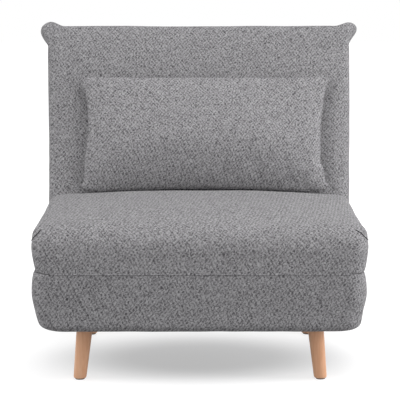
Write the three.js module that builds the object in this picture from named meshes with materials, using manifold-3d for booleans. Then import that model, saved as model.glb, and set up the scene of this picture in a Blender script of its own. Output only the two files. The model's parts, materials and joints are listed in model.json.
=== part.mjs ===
// Convertible chair bed: a seat of two stacked layers on wooden legs, a reclining back and a loose pillow.
// The upper layer folds forward about the seam between the layers, and the back lies down behind.
// Millimetres. X runs to the right as seen from the front, Y to the back and Z up.
// Lengths along Y start at the fold axis. The last lines shift the chair so that the origin lies under its middle.
import * as THREE from 'three';
import { mergeVertices } from 'three/addons/utils/BufferGeometryUtils.js';
import Module from 'manifold-3d';

const wasm = await Module();
wasm.setup();

// Fits shared by all pieces
const clearance = 0.3;
const overrun = 6;
const slotGrow = 0.8;
const coverWall = 3;

// Seat: the lower layer is the base, the upper layer is the flap
const seatWidth = 900;
const undersideHeight = 145;
const foldHeight = 304;
const layerGap = 0.6;
const flapThickness = 122;
const seatCrown = 14;
const foldSetback = 0.5;
const sideDrawIn = 8;
const baseRear = 618;
const flapRear = 600;
const foldFrontRadius = 6;
const foldSideRadius = 14;
const baseBottomFrontRadius = 34;
const baseBottomSideRadius = 50;
const baseBottomRearRadius = 28;
const baseRearRadius = 25;
const flapFrontRadius = 74;
const flapSideRadius = 52;
const flapRearRadius = 55;
const flapBedRearRadius = 20;
const seatCornerRadius = 48;
const seatCrownRun = 190;

// Back, in its own frame: X across, Y from the face backwards and Z up along the face from the recline axis
const backLean = 15;
const reclineSetback = 20;
const backThickness = 140;
const backStart = 8;
const backLength = 638;
const backFlareLow = 4;
const backFlareTop = 11;
const backFaceRadius = 38;
const backRearRadius = 32;
const backCornerRadius = 38;
const backFaceCrown = 6;
const backCrownRun = 180;
const earRadius = 31;
const earReach = 27;
const earRise = 19;
const earHollowRun = 60;
const earHollowRise = 8;

// Pillow, in the back's frame
const pillowWidth = 752;
const pillowHeight = 352;
const pillowStart = 112;
const pillowShift = 14;
const pillowRearBulge = 24;
const pillowFrontBulge = 65;
const pillowSideDrawIn = 19;
const pillowEdgeDrawIn = 9;
const pillowWall = 2;
const pillowCoreInset = 16;
const zipLength = 420;
const zipWidth = 8;
const zipRise = 44;

// Wooden legs
const legTopDiameter = 44;
const legBottomDiameter = 35;
const legFootInset = 124;
const legSplay = 15;
const frontLegY = 79;
const rearLegY = 570;
const glideDiameter = 26;
const glideThickness = 2.4;
const glidePinDiameter = 6;
const glidePinLength = 14;
const legBoltDiameter = 8;
const legBoltDepth = 38;
const nutDiameter = 14;
const nutHeight = 7;

// Steel frames inside the three cushions
const frameTube = 25;
const frameCornerRadius = 50;
const frameSide = 14;
const baseFrameSide = 58;
const flapFrameFront = 18;
const flapFrameRearGap = 8;
const flapFrameRise = 49.5;
const backFrameDepth = 55;
const backFrameStart = 45;
const backFrameEnd = 48;
const backFrameSide = 18;
const spineWidth = 20;

// Sprung slats
const slatThickness = 8;
const slatWidth = 52;
const slatBow = 5;
const slatOverlap = 22;
const baseSlatCount = 5;
const flapSlatCount = 4;
const backSlatCount = 4;

// Cover lip and lining under the base
const lipWidth = 14;
const liningThickness = 1.2;

// Fold hinge: a fabric tape sewn to both covers along the front seam
const foldTapeThickness = 2.9;
const foldTapeProud = 1.2;
const foldTapeHeight = 4.6;
const foldTapeEnd = 52;

// Recline hinge: a fixed bracket, a moving arm and a pin on each side
const reclineEyeRadius = 13;
const reclinePinRadius = 5;
const pinHeadRadius = 9;
const pinHeadThickness = 3;
const reclinePlate = 5;
const plateGap = 1;
const hingeInset = 22;
const reclineShoulder = 36;
const reclinePostWidth = 22;
const armPostWidth = 22;
const armPostDrop = 17;

// Support legs that swing out from the rear end of the flap
const supportTubeRadius = 8;
const supportTubeWall = 1.5;
const supportEndRun = 9;
const supportCapWall = 1.2;
const supportCapLength = 22;
const supportFloorGap = 0.5;
const pivotBoltRadius = 4;
const pivotHeadRadius = 7;
const pivotHeadThickness = 3;

// Counts of facets
const cornerSteps = 5;
const earSteps = 9;
const pillowColumns = 16;
const pillowRows = 10;
const roundFacets = 12;
const legFacets = 24;
const slatFacets = 8;

// Shares of an edge's radius, from the face to where the rounding ends
const edgeShares = [0, 0.06, 0.22, 0.5, 1];
const middleShares = [0.35, 0.65];
const crownShares = [0.3, 0.65, 1];
const pillowPlumpShare = 0.6;
const eyeShoulderShare = Math.SQRT1_2;

const finish = (color, roughness, metalness) =>
  new THREE.MeshStandardMaterial({ color, roughness, metalness });

const materials = {
  upholstery: finish(0x918f91, 0.95, 0),
  pillowFabric: finish(0x959395, 0.95, 0),
  foam: finish(0xe6dfc8, 0.9, 0),
  lining: finish(0x2b2b2d, 0.95, 0),
  legWood: finish(0xc99a72, 0.5, 0),
  slatWood: finish(0xd9bd93, 0.6, 0),
  steel: finish(0x2f3133, 0.45, 0.8),
  zinc: finish(0xb9bcc0, 0.35, 1),
  rubber: finish(0x1d1d1e, 0.85, 0),
  glide: finish(0x3a3a3c, 0.7, 0),
};

const chair = new THREE.Group();
const back = new THREE.Group();
chair.add(back);

/** A closed geometry as a manifold solid. */
function solid(geometry) {
  const bare = geometry.clone();
  bare.deleteAttribute('normal');
  bare.deleteAttribute('uv');
  const merged = mergeVertices(bare, clearance / 1000);
  return new wasm.Manifold(
    new wasm.Mesh({
      numProp: 3,
      vertProperties: new Float32Array(merged.attributes.position.array),
      triVerts: new Uint32Array(merged.index.array),
    }),
  );
}

/** A manifold solid as a geometry that three.js can draw. */
function surface(body) {
  const mesh = body.getMesh();
  const geometry = new THREE.BufferGeometry();
  geometry.setAttribute('position', new THREE.BufferAttribute(mesh.vertProperties, mesh.numProp));
  geometry.setIndex(new THREE.BufferAttribute(mesh.triVerts, 1));
  const drawn = geometry.toNonIndexed();
  drawn.computeVertexNormals();
  return drawn;
}

/** Adds one named piece to a group. */
function addPiece(group, name, body, material) {
  const mesh = new THREE.Mesh(surface(body), material);
  mesh.name = name;
  group.add(mesh);
}

/** A box between two corners. */
function box(low, high) {
  const size = high.clone().sub(low);
  const middle = low.clone().add(high).divideScalar(2);
  const geometry = new THREE.BoxGeometry(size.x, size.y, size.z);
  geometry.translate(middle.x, middle.y, middle.z);
  return solid(geometry);
}

const point = (x, y, z) => new THREE.Vector3(x, y, z);

const turnToX = new THREE.Matrix4().makeRotationZ(-Math.PI / 2);
const turnToY = new THREE.Matrix4();
const turnToZ = new THREE.Matrix4().makeRotationX(Math.PI / 2);

/** A cylinder of a length about its centre point, turned from three.js's Y to another axis. */
function rod(turn, radius, length, centre, facets = roundFacets) {
  const geometry = new THREE.CylinderGeometry(radius, radius, length, facets);
  geometry.applyMatrix4(turn);
  geometry.translate(centre.x, centre.y, centre.z);
  return solid(geometry);
}

/** A turned solid from a profile of [radius, height] pairs, standing on its foot point along Z. */
function turned(profile, foot, facets = roundFacets) {
  const points = profile.map(([radius, height]) => new THREE.Vector2(radius, height));
  const geometry = new THREE.LatheGeometry(points, facets);
  geometry.applyMatrix4(turnToZ);
  geometry.translate(foot.x, foot.y, foot.z);
  return solid(geometry);
}

/** A flat plate from an outline of [y, z] pairs, with its thickness across X from a start. */
function plate(outline, start, thickness) {
  const shape = new THREE.Shape(outline.map(([y, z]) => new THREE.Vector2(y, z)));
  const geometry = new THREE.ExtrudeGeometry(shape, { depth: thickness, bevelEnabled: false });
  geometry.applyMatrix4(new THREE.Matrix4().makeBasis(point(0, 1, 0), point(0, 0, 1), point(1, 0, 0)));
  geometry.translate(start, 0, 0);
  return solid(geometry);
}

/** One closed skin over a stack of rings that hold equally many points, with a fan over each end. */
function loft(rings) {
  const count = rings[0].length;
  const corners = [];
  for (const ring of rings) {
    for (const corner of ring) corners.push(corner.x, corner.y, corner.z);
  }
  const faces = [];
  for (let k = 0; k + 1 < rings.length; k++) {
    for (let i = 0; i < count; i++) {
      const a = k * count + i;
      const b = k * count + ((i + 1) % count);
      faces.push(a, b, b + count, a, b + count, a + count);
    }
  }
  for (const [ring, offset, reversed] of [
    [rings[0], 0, true],
    [rings[rings.length - 1], (rings.length - 1) * count, false],
  ]) {
    const middle = ring.reduce((sum, corner) => sum.add(corner), point(0, 0, 0)).divideScalar(count);
    const hub = corners.length / 3;
    corners.push(middle.x, middle.y, middle.z);
    for (let i = 0; i < count; i++) {
      const a = offset + i;
      const b = offset + ((i + 1) % count);
      faces.push(...(reversed ? [b, a, hub] : [a, b, hub]));
    }
  }
  const geometry = new THREE.BufferGeometry();
  geometry.setAttribute('position', new THREE.BufferAttribute(new Float32Array(corners), 3));
  geometry.setIndex(faces);
  return solid(geometry);
}

/** How far a rounded edge draws the outline in, at a distance below its face. */
function edgeInset(distance, radius) {
  if (distance >= radius) return 0;
  const rest = radius - Math.max(distance, 0);
  return radius - Math.sqrt(radius * radius - rest * rest);
}

/** Points of a rounded rectangle, anticlockwise, as Vector2. */
function roundedRectangle(left, right, low, high, radius) {
  const points = [];
  const centres = [
    [right - radius, high - radius],
    [left + radius, high - radius],
    [left + radius, low + radius],
    [right - radius, low + radius],
  ];
  centres.forEach(([u, v], quarter) => {
    for (let i = 0; i <= cornerSteps; i++) {
      const angle = (quarter + i / cornerSteps) * (Math.PI / 2);
      points.push(new THREE.Vector2(u + radius * Math.cos(angle), v + radius * Math.sin(angle)));
    }
  });
  return points;
}

/**
 * One seat layer: rings from its bottom to its top, round at the edges and drawn in beside the seams,
 * with a crown over the top face. A shrink gives the space inside its cover.
 */
function seatLayer(layer, shrink) {
  const bottom = layer.bottom + shrink;
  const top = layer.top - shrink;
  const height = top - bottom;
  const reach = (radii) => Math.max(radii.front, radii.side, radii.rear) - shrink;
  const low = reach(layer.bottomRadii);
  const high = reach(layer.topRadii);
  const between = height - low - high;
  const levels = [
    ...edgeShares.map((share) => low * share),
    ...middleShares.map((share) => low + between * share),
    ...edgeShares.map((share) => height - high * share).reverse(),
  ];
  const ringAt = (rise, extra, lift) => {
    const drawn = 1 - Math.sin(Math.PI * (rise / height));
    const inset = (side, draw) =>
      edgeInset(rise, layer.bottomRadii[side] - shrink) +
      edgeInset(height - rise, layer.topRadii[side] - shrink) +
      draw * drawn + shrink + extra;
    const halfWidth = seatWidth / 2 - inset('side', sideDrawIn);
    const front = foldSetback + inset('front', 0);
    const rear = layer.rear - inset('rear', 0);
    const radius = seatCornerRadius - shrink;
    return roundedRectangle(-halfWidth, halfWidth, front, rear, radius).map((p) =>
      point(p.x, p.y, bottom + rise + lift),
    );
  };
  const rings = levels.map((rise) => ringAt(rise, 0, 0));
  if (layer.crown) {
    for (const share of crownShares) {
      const lift = layer.crown * (1 - (1 - share) * (1 - share));
      rings.push(ringAt(height, seatCrownRun * share, lift));
    }
  }
  return loft(rings);
}

const backHalfWidthLow = seatWidth / 2 + backFlareLow;
const backHalfWidthTop = seatWidth / 2 + backFlareTop;

const baseLayer = {
  bottom: undersideHeight,
  top: foldHeight - layerGap / 2,
  rear: baseRear,
  crown: 0,
  bottomRadii: { front: baseBottomFrontRadius, side: baseBottomSideRadius, rear: baseBottomRearRadius },
  topRadii: { front: foldFrontRadius, side: foldSideRadius, rear: baseRearRadius },
};

const flapLayer = {
  bottom: foldHeight + layerGap / 2,
  top: foldHeight + flapThickness,
  rear: flapRear,
  crown: seatCrown,
  bottomRadii: { front: foldFrontRadius, side: foldSideRadius, rear: flapBedRearRadius },
  topRadii: { front: flapFrontRadius, side: flapSideRadius, rear: flapRearRadius },
};

/** The top right corner of the back's outline: a plain round corner blended into a soft rounded ear. */
function backCorner(halfWidth, top, earShare) {
  const points = [];
  const earX = halfWidth + earReach - earRadius;
  const earZ = top + earRise - earRadius;
  const spread = Math.PI / 5;
  const ear = [[halfWidth, earZ - earRadius - earHollowRun], [halfWidth + earHollowRise, earZ - earRadius]];
  for (let i = 0; i < earSteps; i++) {
    const angle = -spread + (Math.PI / 2 + 2 * spread) * (i / (earSteps - 1));
    ear.push([earX + earRadius * Math.cos(angle), earZ + earRadius * Math.sin(angle)]);
  }
  ear.push([earX - earRadius, top + earHollowRise / 2]);
  ear.push([earX - earRadius - earHollowRun / 2, top]);
  const last = ear.length - 1;
  ear.forEach(([x, z], i) => {
    const angle = (Math.PI / 2) * (i / last);
    const plainX = halfWidth - backCornerRadius * (1 - Math.cos(angle));
    const plainZ = top - backCornerRadius * (1 - Math.sin(angle));
    points.push(new THREE.Vector2(plainX + (x - plainX) * earShare, plainZ + (z - plainZ) * earShare));
  });
  return points;
}

/** The back's outline seen from the front, anticlockwise from the lower right corner. */
function backOutline(inset, earShare) {
  const low = backStart + inset;
  const top = backLength - inset;
  const right = [];
  for (let i = 0; i <= cornerSteps; i++) {
    const angle = (Math.PI / 2) * (i / cornerSteps) - Math.PI / 2;
    right.push(new THREE.Vector2(
      backHalfWidthLow - inset - backCornerRadius * (1 - Math.cos(angle)),
      low + backCornerRadius * (1 + Math.sin(angle)),
    ));
  }
  right.push(...backCorner(backHalfWidthTop - inset, top, earShare));
  const left = right.map((p) => new THREE.Vector2(-p.x, p.y)).reverse();
  return [...right, ...left];
}

/** The back cushion from its rear face to its crowned front face. A shrink gives the space inside its cover. */
function backCushion(shrink, ears) {
  const depth = backThickness - 2 * shrink;
  const rearReach = backRearRadius - shrink;
  const faceReach = backFaceRadius - shrink;
  const levels = [
    ...edgeShares.map((share) => depth - rearReach * share),
    ...edgeShares.map((share) => faceReach * share).reverse(),
  ];
  const ringAt = (y, extra, lift) => {
    const inset = edgeInset(y, faceReach) + edgeInset(depth - y, rearReach) + shrink + extra;
    const earShare = ears ? Math.sin(Math.PI * (y / depth)) : 0;
    return backOutline(inset, earShare).map((p) => point(p.x, shrink + y - lift, p.y));
  };
  const rings = levels.map((y) => ringAt(y, 0, 0));
  for (const share of crownShares) {
    rings.push(ringAt(0, backCrownRun * share, backFaceCrown * (1 - (1 - share) * (1 - share))));
  }
  return loft(rings);
}

/** An upright block with rounded corners in the XY plane. */
function roundedBlock(halfWidth, front, rear, radius, bottom, top) {
  const shape = new THREE.Shape(roundedRectangle(-halfWidth, halfWidth, front, rear, radius));
  const geometry = new THREE.ExtrudeGeometry(shape, { depth: top - bottom, bevelEnabled: false });
  geometry.translate(0, 0, bottom);
  return solid(geometry);
}

/** A ring of square tube bent round its corners, lying in the XY plane, with a spine down its middle. */
function tubeRing(halfWidth, front, rear, bottom) {
  const high = bottom + frameTube;
  const outer = roundedBlock(halfWidth, front, rear, frameCornerRadius, bottom, high);
  const inner = roundedBlock(
    halfWidth - frameTube, front + frameTube, rear - frameTube,
    frameCornerRadius - frameTube, bottom - overrun, high + overrun,
  );
  const spine = box(
    point(-spineWidth / 2, front + frameTube / 2, bottom),
    point(spineWidth / 2, rear - frameTube / 2, high),
  );
  return outer.subtract(inner).add(spine);
}

/** A slat bowed upwards across X, resting by its ends on rails of a given inner half width. */
function slat(railInner, y, bottom, grow) {
  const reach = railInner + slatOverlap + grow;
  const arc = new THREE.Path();
  arc.moveTo(-reach, 0);
  arc.quadraticCurveTo(0, 2 * slatBow, reach, 0);
  const under = arc.getPoints(slatFacets);
  const over = under.map((p) => new THREE.Vector2(p.x, p.y + slatThickness + 2 * grow)).reverse();
  const shape = new THREE.Shape([...under, ...over]);
  const geometry = new THREE.ExtrudeGeometry(shape, { depth: slatWidth + 2 * grow, bevelEnabled: false });
  geometry.applyMatrix4(turnToZ);
  geometry.translate(0, y + slatWidth / 2 + grow, bottom - grow);
  return solid(geometry);
}

/** Middles of evenly spaced slats between two ends. */
function slatPlaces(count, start, end) {
  const pitch = (end - start) / count;
  return Array.from({ length: count }, (_, i) => start + pitch * (i + 1 / 2));
}

const sides = [
  ['left', -1],
  ['right', 1],
];

/** The near face of a plate on one side: the lower X of a plate whose inner face lies at a distance. */
const plateStart = (sign, inner, thickness) => (sign > 0 ? inner : -inner - thickness);

/** A hinge plate: a post, a neck and a round eye with its bore. */
function hingePlate(outline, eyeY, eyeZ, eyeRadius, bore, start, thickness) {
  const centre = point(start + thickness / 2, eyeY, eyeZ);
  return plate(outline, start, thickness)
    .add(rod(turnToX, eyeRadius, thickness, centre))
    .subtract(rod(turnToX, bore, thickness + overrun, centre));
}

// Places that several pieces share
const frameHalfWidth = seatWidth / 2 - frameSide;
const baseFrameHalfWidth = seatWidth / 2 - baseFrameSide;
const backFrameHalfWidth = backHalfWidthLow - backFrameSide;
const hingeX = baseFrameHalfWidth - hingeInset;
const legFootX = seatWidth / 2 - legFootInset;
const legTopX = legFootX - legSplay;
const baseFrameFront = frontLegY - frameTube / 2;
const baseFrameRear = rearLegY + frameTube / 2;
const baseFrameBottom = undersideHeight + coverWall + clearance;
const baseFrameTop = baseFrameBottom + frameTube;
const flapFrameBottom = foldHeight + flapFrameRise;
const flapFrameTop = flapFrameBottom + frameTube;
const flapFrameRear = flapRear - flapFrameRearGap;
const pivotHeight = flapFrameBottom + frameTube / 2;
const reclineY = baseRear + reclineSetback;
const slatBulk = slatThickness + slatBow;
const outerPlate = hingeX + plateGap / 2;
const innerArm = hingeX - plateGap / 2 - reclinePlate;

/** Outline of the fixed recline bracket: from the base's rear rail up and back to the pin. */
function reclineOutline(grow) {
  const foot = baseFrameTop + clearance - grow;
  const front = baseFrameRear - reclinePostWidth - grow;
  const rear = baseFrameRear + grow;
  const shoulder = foldHeight - reclineShoulder;
  const nose = reclineEyeRadius * eyeShoulderShare + grow;
  return [
    [front, foot],
    [rear, foot],
    [rear, shoulder - grow],
    [reclineY + nose, foldHeight - nose],
    [reclineY - nose, foldHeight + nose],
    [front, shoulder + reclinePostWidth / 2 + grow],
  ];
}

/** The fixed bracket of the recline hinge, with its eye round the pin. */
function reclineBracket(sign) {
  const start = plateStart(sign, outerPlate, reclinePlate);
  const bore = reclinePinRadius + clearance;
  return hingePlate(reclineOutline(0), reclineY, foldHeight, reclineEyeRadius, bore, start, reclinePlate);
}

function reclineSlot(sign) {
  const start = plateStart(sign, outerPlate, reclinePlate) - clearance;
  return plate(reclineOutline(slotGrow), start, reclinePlate + 2 * clearance);
}

/** Outline of the moving recline arm in the back's frame: from the pin to the lower rail. */
function armOutline(grow) {
  const head = backFrameStart - clearance + grow;
  const nose = reclineEyeRadius * eyeShoulderShare + grow;
  const rear = backFrameDepth + armPostWidth + grow;
  return [
    [backFrameDepth - grow, head],
    [-nose, nose],
    [nose, -nose],
    [rear, head - armPostDrop - 2 * grow],
    [rear, head],
  ];
}

/** The moving arm of the recline hinge, with its eye round the pin. */
function reclineArm(sign) {
  const start = plateStart(sign, innerArm, reclinePlate);
  const bore = reclinePinRadius + clearance;
  return hingePlate(armOutline(0), 0, 0, reclineEyeRadius, bore, start, reclinePlate);
}

function armSlot(sign) {
  const start = plateStart(sign, innerArm, reclinePlate) - clearance;
  return plate(armOutline(slotGrow), start, reclinePlate + 2 * clearance);
}

/** Runs a function for the four wooden legs. */
function forEachLeg(build) {
  for (const [row, y] of [['front', frontLegY], ['rear', rearLegY]]) {
    for (const [side, sign] of sides) build(`${row}_leg_${side}`, sign, y);
  }
}

const legTop = undersideHeight - clearance;
const legBottom = glideThickness + clearance;

/** A tapered leg, splayed sideways and cut level at the top and the foot. */
function woodenLeg(sign, y) {
  const rise = legTop - legBottom;
  const lean = Math.atan2(legTopX - legFootX, rise);
  const length = rise + legTopDiameter;
  const grow = (legTopDiameter - legBottomDiameter) / 2 / rise;
  const footRadius = legBottomDiameter / 2 - grow * (legTopDiameter / 2);
  const geometry = new THREE.LatheGeometry(
    [
      new THREE.Vector2(0, -legTopDiameter / 2),
      new THREE.Vector2(footRadius, -legTopDiameter / 2),
      new THREE.Vector2(footRadius + grow * length, length - legTopDiameter / 2),
      new THREE.Vector2(0, length - legTopDiameter / 2),
    ],
    legFacets,
  );
  geometry.applyMatrix4(turnToZ);
  geometry.rotateY(sign * lean);
  geometry.translate(sign * legFootX, y, legBottom);
  const trim = box(
    point(sign * legFootX - legTopDiameter, y - legTopDiameter, legBottom),
    point(sign * legFootX + legTopDiameter, y + legTopDiameter, legTop),
  );
  const boltBore = rod(
    turnToZ, legBoltDiameter / 2 + clearance, 2 * legBoltDepth + 2 * clearance, point(sign * legTopX, y, legTop),
  );
  const pinBore = rod(
    turnToZ, glidePinDiameter / 2 + clearance, 2 * glidePinLength + 2 * clearance,
    point(sign * legFootX, y, legBottom),
  );
  return solid(geometry).intersect(trim).subtract(boltBore).subtract(pinBore);
}

/** The hanger bolt of a leg with its nut above the plate. */
function legBolt(sign, y) {
  const start = legTop - legBoltDepth;
  const nutBottom = baseFrameTop + clearance;
  const end = nutBottom + nutHeight;
  const shank = rod(turnToZ, legBoltDiameter / 2, end - start, point(sign * legTopX, y, (start + end) / 2));
  return shank.add(
    rod(turnToZ, nutDiameter / 2, nutHeight, point(sign * legTopX, y, nutBottom + nutHeight / 2), 6),
  );
}

function legGlide(sign, y) {
  const pinTop = glideThickness + glidePinLength;
  return turned(
    [
      [0, 0],
      [glideDiameter / 2, 0],
      [glideDiameter / 2, glideThickness],
      [glidePinDiameter / 2, glideThickness],
      [glidePinDiameter / 2, pinTop],
      [0, pinTop],
    ],
    point(sign * legFootX, y, 0),
  );
}

/** Steel frame of the base: a tube ring with a spine, bored for the bolt of each wooden leg. */
function baseFrame() {
  let frame = tubeRing(baseFrameHalfWidth, baseFrameFront, baseFrameRear, baseFrameBottom);
  forEachLeg((name, sign, y) => {
    frame = frame.subtract(rod(
      turnToZ, legBoltDiameter / 2 + clearance, frameTube + 2 * overrun,
      point(sign * legTopX, y, baseFrameBottom + frameTube / 2),
    ));
  });
  return frame;
}

/** Base: cover open below with a lip, foam, frame, slats, lining and hinge pieces. */
function buildBase() {
  const outer = seatLayer(baseLayer, 0);
  const inner = seatLayer(baseLayer, coverWall);
  const lip = lipWidth + baseBottomRearRadius;
  const sideLip = lipWidth + baseBottomSideRadius;
  const liningTop = undersideHeight + coverWall;
  const opening = (grow, low, high) => box(
    point(sideLip - seatWidth / 2 + grow, foldSetback + lip + grow, low),
    point(seatWidth / 2 - sideLip - grow, baseRear - lip - grow, high),
  );
  let cover = outer
    .subtract(inner)
    .subtract(opening(0, undersideHeight - overrun, liningTop + overrun));
  const foamBottom = baseFrameTop + clearance + slatBulk + clearance;
  let foam = seatLayer(baseLayer, coverWall + clearance).subtract(roundedBlock(
    baseFrameHalfWidth + clearance, baseFrameFront - clearance, baseFrameRear + clearance,
    frameCornerRadius, undersideHeight, foamBottom,
  ));
  for (const [side, sign] of sides) {
    const recline = reclineSlot(sign);
    cover = cover.subtract(recline);
    foam = foam.subtract(recline);
    addPiece(chair, `recline_bracket_${side}`, reclineBracket(sign), materials.steel);
  }
  addPiece(chair, 'base_cover', cover, materials.upholstery);
  addPiece(chair, 'base_foam', foam, materials.foam);
  addPiece(chair, 'base_frame', baseFrame(), materials.steel);
  let lining = opening(clearance, liningTop - liningThickness, liningTop);
  forEachLeg((name, sign, y) => {
    lining = lining.subtract(rod(
      turnToZ, legBoltDiameter / 2 + clearance, coverWall + 2 * overrun, point(sign * legTopX, y, liningTop),
    ));
  });
  addPiece(chair, 'base_lining', lining, materials.lining);
  const railInner = baseFrameHalfWidth - frameTube;
  const start = baseFrameFront + frameTube;
  slatPlaces(baseSlatCount, start, baseFrameRear - reclinePostWidth).forEach((y, i) => {
    const slatBottom = baseFrameTop + clearance;
    addPiece(chair, `base_slat_${i + 1}`, slat(railInner, y, slatBottom, 0), materials.slatWood);
  });
  forEachLeg((name, sign, y) => {
    addPiece(chair, name, woodenLeg(sign, y), materials.legWood);
    addPiece(chair, `${name}_bolt`, legBolt(sign, y), materials.zinc);
    addPiece(chair, `${name}_glide`, legGlide(sign, y), materials.glide);
  });
}

/** The fabric tape along the fold axis that joins the two layers. */
function buildFoldSeam() {
  const reach = seatWidth / 2 - foldTapeEnd;
  addPiece(chair, 'fold_tape', box(
    point(-reach, -foldTapeProud, foldHeight - foldTapeHeight / 2),
    point(reach, foldTapeThickness - foldTapeProud, foldHeight + foldTapeHeight / 2),
  ), materials.upholstery);
}

/** Flap: cover, and foams on both sides of a slatted frame. */
function buildFlap() {
  let cover = seatLayer(flapLayer, 0).subtract(seatLayer(flapLayer, coverWall));
  const core = seatLayer(flapLayer, coverWall + clearance);
  const split = flapFrameTop + clearance + slatBulk + clearance;
  const far = seatWidth;
  let foamSeat = core.intersect(box(point(-far, -overrun, split), point(far, flapRear, split + far)));
  let foamBed = core.intersect(
    box(point(-far, -overrun, foldHeight), point(far, flapRear, split - clearance)),
  );
  foamBed = foamBed.subtract(roundedBlock(
    frameHalfWidth + clearance, flapFrameFront - clearance, flapFrameRear + clearance,
    frameCornerRadius, flapFrameBottom - clearance, flapFrameTop + clearance,
  ));
  const railInner = frameHalfWidth - frameTube;
  const places = slatPlaces(flapSlatCount, flapFrameFront + frameTube, flapFrameRear - frameTube);
  const slatBottom = flapFrameTop + clearance;
  places.forEach((y, i) => {
    addPiece(chair, `flap_slat_${i + 1}`, slat(railInner, y, slatBottom, 0), materials.slatWood);
    foamBed = foamBed.subtract(box(
      point(-railInner - slatOverlap - clearance, y - slatWidth / 2 - clearance, slatBottom - clearance),
      point(railInner + slatOverlap + clearance, y + slatWidth / 2 + clearance, split),
    ));
  });
  for (const [, sign] of sides) {
    const bore = rod(
      turnToY, pivotBoltRadius + clearance, 2 * (flapRear - flapFrameRear),
      point(sign * hingeX, flapRear, pivotHeight),
    );
    cover = cover.subtract(bore);
    foamBed = foamBed.subtract(bore);
  }
  addPiece(chair, 'flap_cover', cover, materials.upholstery);
  addPiece(chair, 'flap_foam_seat', foamSeat, materials.foam);
  addPiece(chair, 'flap_foam_bed', foamBed, materials.foam);
  const frame = tubeRing(frameHalfWidth, flapFrameFront, flapFrameRear, flapFrameBottom);
  addPiece(chair, 'flap_frame', frame, materials.steel);
}

/** Support legs on the flap's rear end: tube, rubber foot and pivot bolt on each side. */
function buildSupportLegs() {
  const capRadius = supportTubeRadius + clearance + supportCapWall;
  const y = flapRear + clearance + capRadius;
  const reach = pivotHeight - foldHeight;
  const length = foldHeight - reach - supportFloorGap;
  for (const [side, sign] of sides) {
    const outerEnd = hingeX + supportEndRun;
    const tubeEnd = hingeX - length + supportCapWall + clearance;
    const tubeMiddle = point(sign * (outerEnd + tubeEnd) / 2, y, pivotHeight);
    const tubeLength = outerEnd - tubeEnd;
    const tube = rod(turnToX, supportTubeRadius, tubeLength, tubeMiddle)
      .subtract(rod(turnToX, supportTubeRadius - supportTubeWall, tubeLength + overrun, tubeMiddle))
      .subtract(rod(
        turnToY, pivotBoltRadius + clearance, 2 * supportTubeRadius + overrun,
        point(sign * hingeX, y, pivotHeight),
      ));
    addPiece(chair, `support_leg_${side}`, tube, materials.steel);
    const capEnd = hingeX - length;
    const cap = rod(
      turnToX, capRadius, supportCapLength, point(sign * (capEnd + supportCapLength / 2), y, pivotHeight),
    ).subtract(rod(
      turnToX, supportTubeRadius + clearance, supportCapLength,
      point(sign * (capEnd + supportCapWall + supportCapLength / 2), y, pivotHeight),
    ));
    addPiece(chair, `support_foot_${side}`, cap, materials.rubber);
    const boltStart = flapFrameRear + clearance;
    const headStart = y + supportTubeRadius + clearance;
    const bolt = rod(
      turnToY, pivotBoltRadius, headStart - boltStart,
      point(sign * hingeX, (boltStart + headStart) / 2, pivotHeight),
    ).add(rod(
      turnToY, pivotHeadRadius, pivotHeadThickness,
      point(sign * hingeX, headStart + pivotHeadThickness / 2, pivotHeight),
    ));
    addPiece(chair, `support_pivot_${side}`, bolt, materials.zinc);
  }
}

/** Turns a piece made flat in the XY plane so that it stands in the back's frame. */
function standUp(body) {
  const geometry = surface(body);
  geometry.applyMatrix4(turnToZ);
  return solid(geometry);
}

/** Back: cover with two soft ears, foams, slatted frame and hinge arms. */
function buildBack() {
  let cover = backCushion(0, true).subtract(backCushion(coverWall, false));
  const core = backCushion(coverWall + clearance, false);
  const far = seatWidth;
  const frameRear = backFrameDepth + frameTube;
  const slatFront = backFrameDepth - clearance - slatBulk;
  const split = slatFront - clearance;
  const frontFoam = core.intersect(box(point(-far, -far, 0), point(far, split, far)));
  let rearFoam = core.intersect(box(point(-far, split + clearance, 0), point(far, backThickness, far)));
  const low = backFrameStart;
  const high = backLength - backFrameEnd;
  rearFoam = rearFoam.subtract(box(
    point(-backFrameHalfWidth - clearance, backFrameDepth - clearance, low - clearance),
    point(backFrameHalfWidth + clearance, frameRear + clearance, high + clearance),
  ));
  const frame = standUp(tubeRing(backFrameHalfWidth, low, high, -frameRear));
  addPiece(back, 'back_frame', frame, materials.steel);
  const railInner = backFrameHalfWidth - frameTube;
  slatPlaces(backSlatCount, low + frameTube, high - frameTube).forEach((z, i) => {
    const bowed = standUp(slat(railInner, z, clearance - backFrameDepth, 0));
    addPiece(back, `back_slat_${i + 1}`, bowed, materials.slatWood);
    rearFoam = rearFoam.subtract(box(
      point(-railInner - slatOverlap - clearance, split, z - slatWidth / 2 - clearance),
      point(railInner + slatOverlap + clearance, backFrameDepth, z + slatWidth / 2 + clearance),
    ));
  });
  let face = frontFoam;
  for (const [side, sign] of sides) {
    const slot = armSlot(sign);
    cover = cover.subtract(slot);
    face = face.subtract(slot);
    rearFoam = rearFoam.subtract(slot);
    addPiece(back, `recline_arm_${side}`, reclineArm(sign), materials.steel);
    const from = innerArm - clearance;
    const to = outerPlate + reclinePlate + clearance;
    const middle = sign * (from + to) / 2;
    let pin = rod(turnToX, reclinePinRadius, to - from, point(middle, 0, 0));
    for (const end of [from - pinHeadThickness / 2, to + pinHeadThickness / 2]) {
      pin = pin.add(rod(turnToX, pinHeadRadius, pinHeadThickness, point(sign * end, 0, 0)));
    }
    addPiece(back, `recline_pin_${side}`, pin, materials.zinc);
  }
  addPiece(back, 'back_cover', cover, materials.upholstery);
  addPiece(back, 'back_foam_front', face, materials.foam);
  addPiece(back, 'back_foam_rear', rearFoam, materials.foam);
}

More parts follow.
